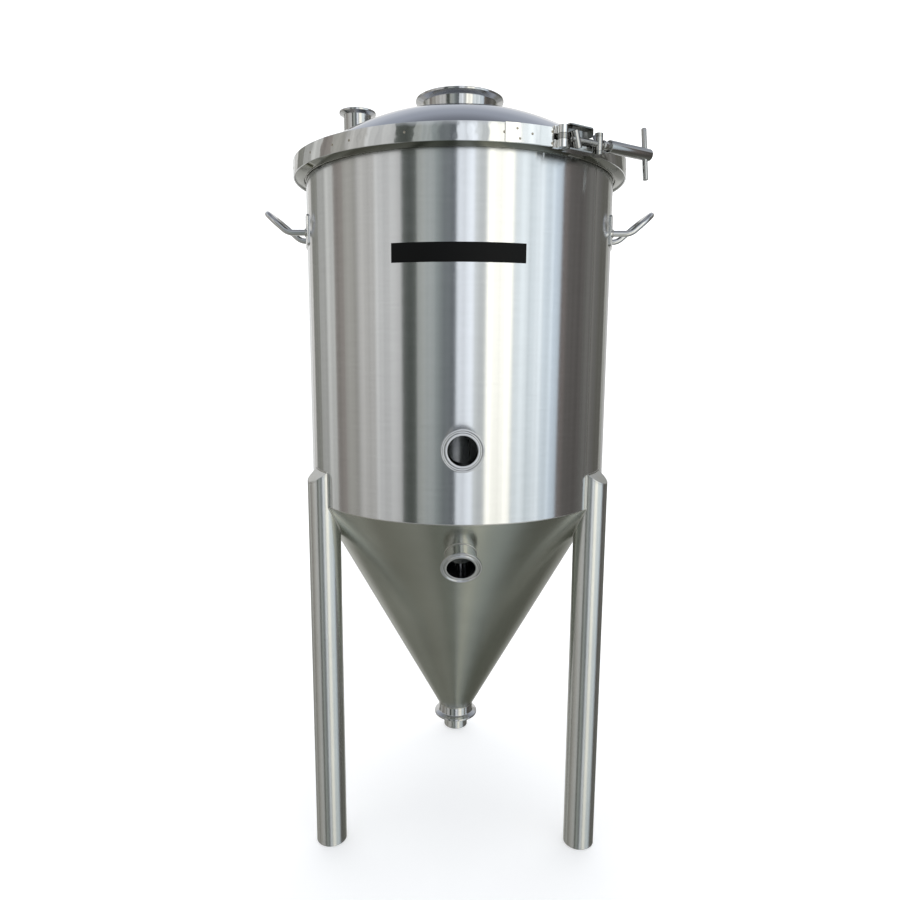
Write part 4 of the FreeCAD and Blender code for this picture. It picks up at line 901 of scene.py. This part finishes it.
# where each panel starts, in degrees from the front towards the right, and how bright it is
PANELS = [
    (-180, (0.85, 0.85, 0.84)), (-150, (0.62, 0.61, 0.59)), (-141, (0.26, 0.26, 0.235)), (-127, (0.48, 0.48, 0.46)),
    (-115, (0.60, 0.60, 0.58)), (-103, (0.30, 0.275, 0.255)), (-92, (0.43, 0.42, 0.39)), (-80, (0.57, 0.56, 0.54)),
    (-62, (0.66, 0.66, 0.655)), (-41.5, (0.105, 0.115, 0.105)), (-30.5, (0.46, 0.48, 0.46)), (-24, (0.44, 0.47, 0.465)),
    (-18, (0.27, 0.30, 0.30)), (-12.5, (0.20, 0.22, 0.23)), (-7, (0.15, 0.165, 0.18)),
    (-2, (1.0, 1.05, 1.12)), (11, (0.72, 0.75, 0.76)), (18.5, (1.50, 1.48, 1.36)), (39, (1.05, 1.13, 1.17)),
    (49.5, (0.76, 0.83, 0.87)), (55, (1.02, 1.1, 1.15)), (62, (0.9, 1.0, 1.08)), (71, (0.68, 0.77, 0.86)), (78, (0.20, 0.175, 0.165)),
    (84, (0.127, 0.118, 0.112)), (104, (0.175, 0.17, 0.16)), (126, (0.14, 0.137, 0.122)), (142, (0.38, 0.38, 0.355)),
    (150, (0.55, 0.55, 0.54)), (160, (0.85, 0.85, 0.84)),
]
cr = ramp.color_ramp
while len(cr.elements) > 1:
    cr.elements.remove(cr.elements[-1])
cr.elements[0].position = 0.0
cr.elements[0].color = (*PANELS[0][1], 1)
for a, c in PANELS[1:]:
    el = cr.elements.new((a + 180) / 360.0)
    el.color = (*c, 1)
nt.links.new(turnv, ramp.inputs[0])
# the panels fade towards the floor; above them the room turns from pale to a dim blue grey
elev = N.math("ARCSINE", z)
fade = N.remap(elev, math.radians(-62), math.radians(2), 0.36, 1.0)
# narrow upright strips of lighter and darker room, which the brushed wall draws as streaks
thin = N.noise(N.combine(N.math("MULTIPLY", ang, 9.0), 0.0, 0.0), 1.0, 0.0, 0.5)
thinner = N.noise(N.combine(N.math("MULTIPLY", ang, 24.0), 5.0, 0.0), 1.0, 1.0, 0.6)
streak = N.math("ADD", N.remap(thin, 0.3, 0.7, -0.16, 0.16), N.remap(thinner, 0.32, 0.68, -0.17, 0.17))
fade = N.math("MULTIPLY", fade, N.math("ADD", 1.0, streak))
low = N.add("ShaderNodeVectorMath", operation="SCALE")
nt.links.new(ramp.outputs[0], low.inputs[0])
nt.links.new(fade, low.inputs["Scale"])
haze = N.remap(elev, math.radians(-60), math.radians(-10), 1.0, 0.0)
lowc = N.add("ShaderNodeVectorMath", operation="MULTIPLY_ADD")
nt.links.new(haze, lowc.inputs[0])
lowc.inputs[1].default_value = (0.075, 0.082, 0.068)
nt.links.new(low.outputs[0], lowc.inputs[2])
up = N.add("ShaderNodeValToRGB")
up.color_ramp.interpolation = "EASE"
while len(up.color_ramp.elements) > 1:
    up.color_ramp.elements.remove(up.color_ramp.elements[-1])
up.color_ramp.elements[0].position = 0.0
up.color_ramp.elements[0].color = (0.95, 0.98, 1.02, 1)
for deg, c in ((16, (0.92, 0.95, 1.0)), (32, (0.58, 0.61, 0.67)), (44, (0.40, 0.43, 0.49)), (56, (0.22, 0.235, 0.27)),
               (72, (0.22, 0.23, 0.26)), (84, (0.5, 0.52, 0.56))):
    el = up.color_ramp.elements.new(deg / 90.0)
    el.color = (*c, 1)
nt.links.new(N.math("DIVIDE", elev, math.pi / 2), up.inputs[0])
up1 = N.remap(elev, math.radians(23), math.radians(31), 0.0, 1.0)
colr = N.mix(up1, lowc.outputs[0], up.outputs[0])
# past the floor's edges the room is plain and pale
path = N.add("ShaderNodeLightPath")
nt.links.new(N.mix(path.outputs["Is Camera Ray"], colr, (0.98, 0.98, 0.98, 1)), bg.inputs[0])
bg.inputs[1].default_value = 1.0

light = bpy.data.lights.new("top", "AREA")
light.shape = "RECTANGLE"
light.size, light.size_y = 2.6, 2.2
light.energy = 38
lo = bpy.data.objects.new("top", light)
lo.location = (0.0, 0.2, 2.9)
lo.visible_glossy = False
scene.collection.objects.link(lo)

# ------------------------------------------------------------------ camera
cam = bpy.data.cameras.new("camera")
cam.sensor_width = 36.0
cam.lens = 27.756
cam.clip_start = 0.01
co = bpy.data.objects.new("camera", cam)
scene.collection.objects.link(co)
right = Vector((0.999921, 0.011525, 0.004978))
upv = Vector((-0.006701, 0.154633, 0.987949))
fwd = Vector((-0.010617, 0.987905, -0.154698))
m = Matrix((
    (right.x, upv.x, -fwd.x, 0.0),
    (right.y, upv.y, -fwd.y, -1.003566),
    (right.z, upv.z, -fwd.z, 0.567228),
    (0, 0, 0, 1),
))
co.matrix_world = m
scene.camera = co
scene.view_settings.view_transform = "Standard"
scene.view_settings.look = "None"

{"after_load": start_bounds, "before_finish": plain(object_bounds())}
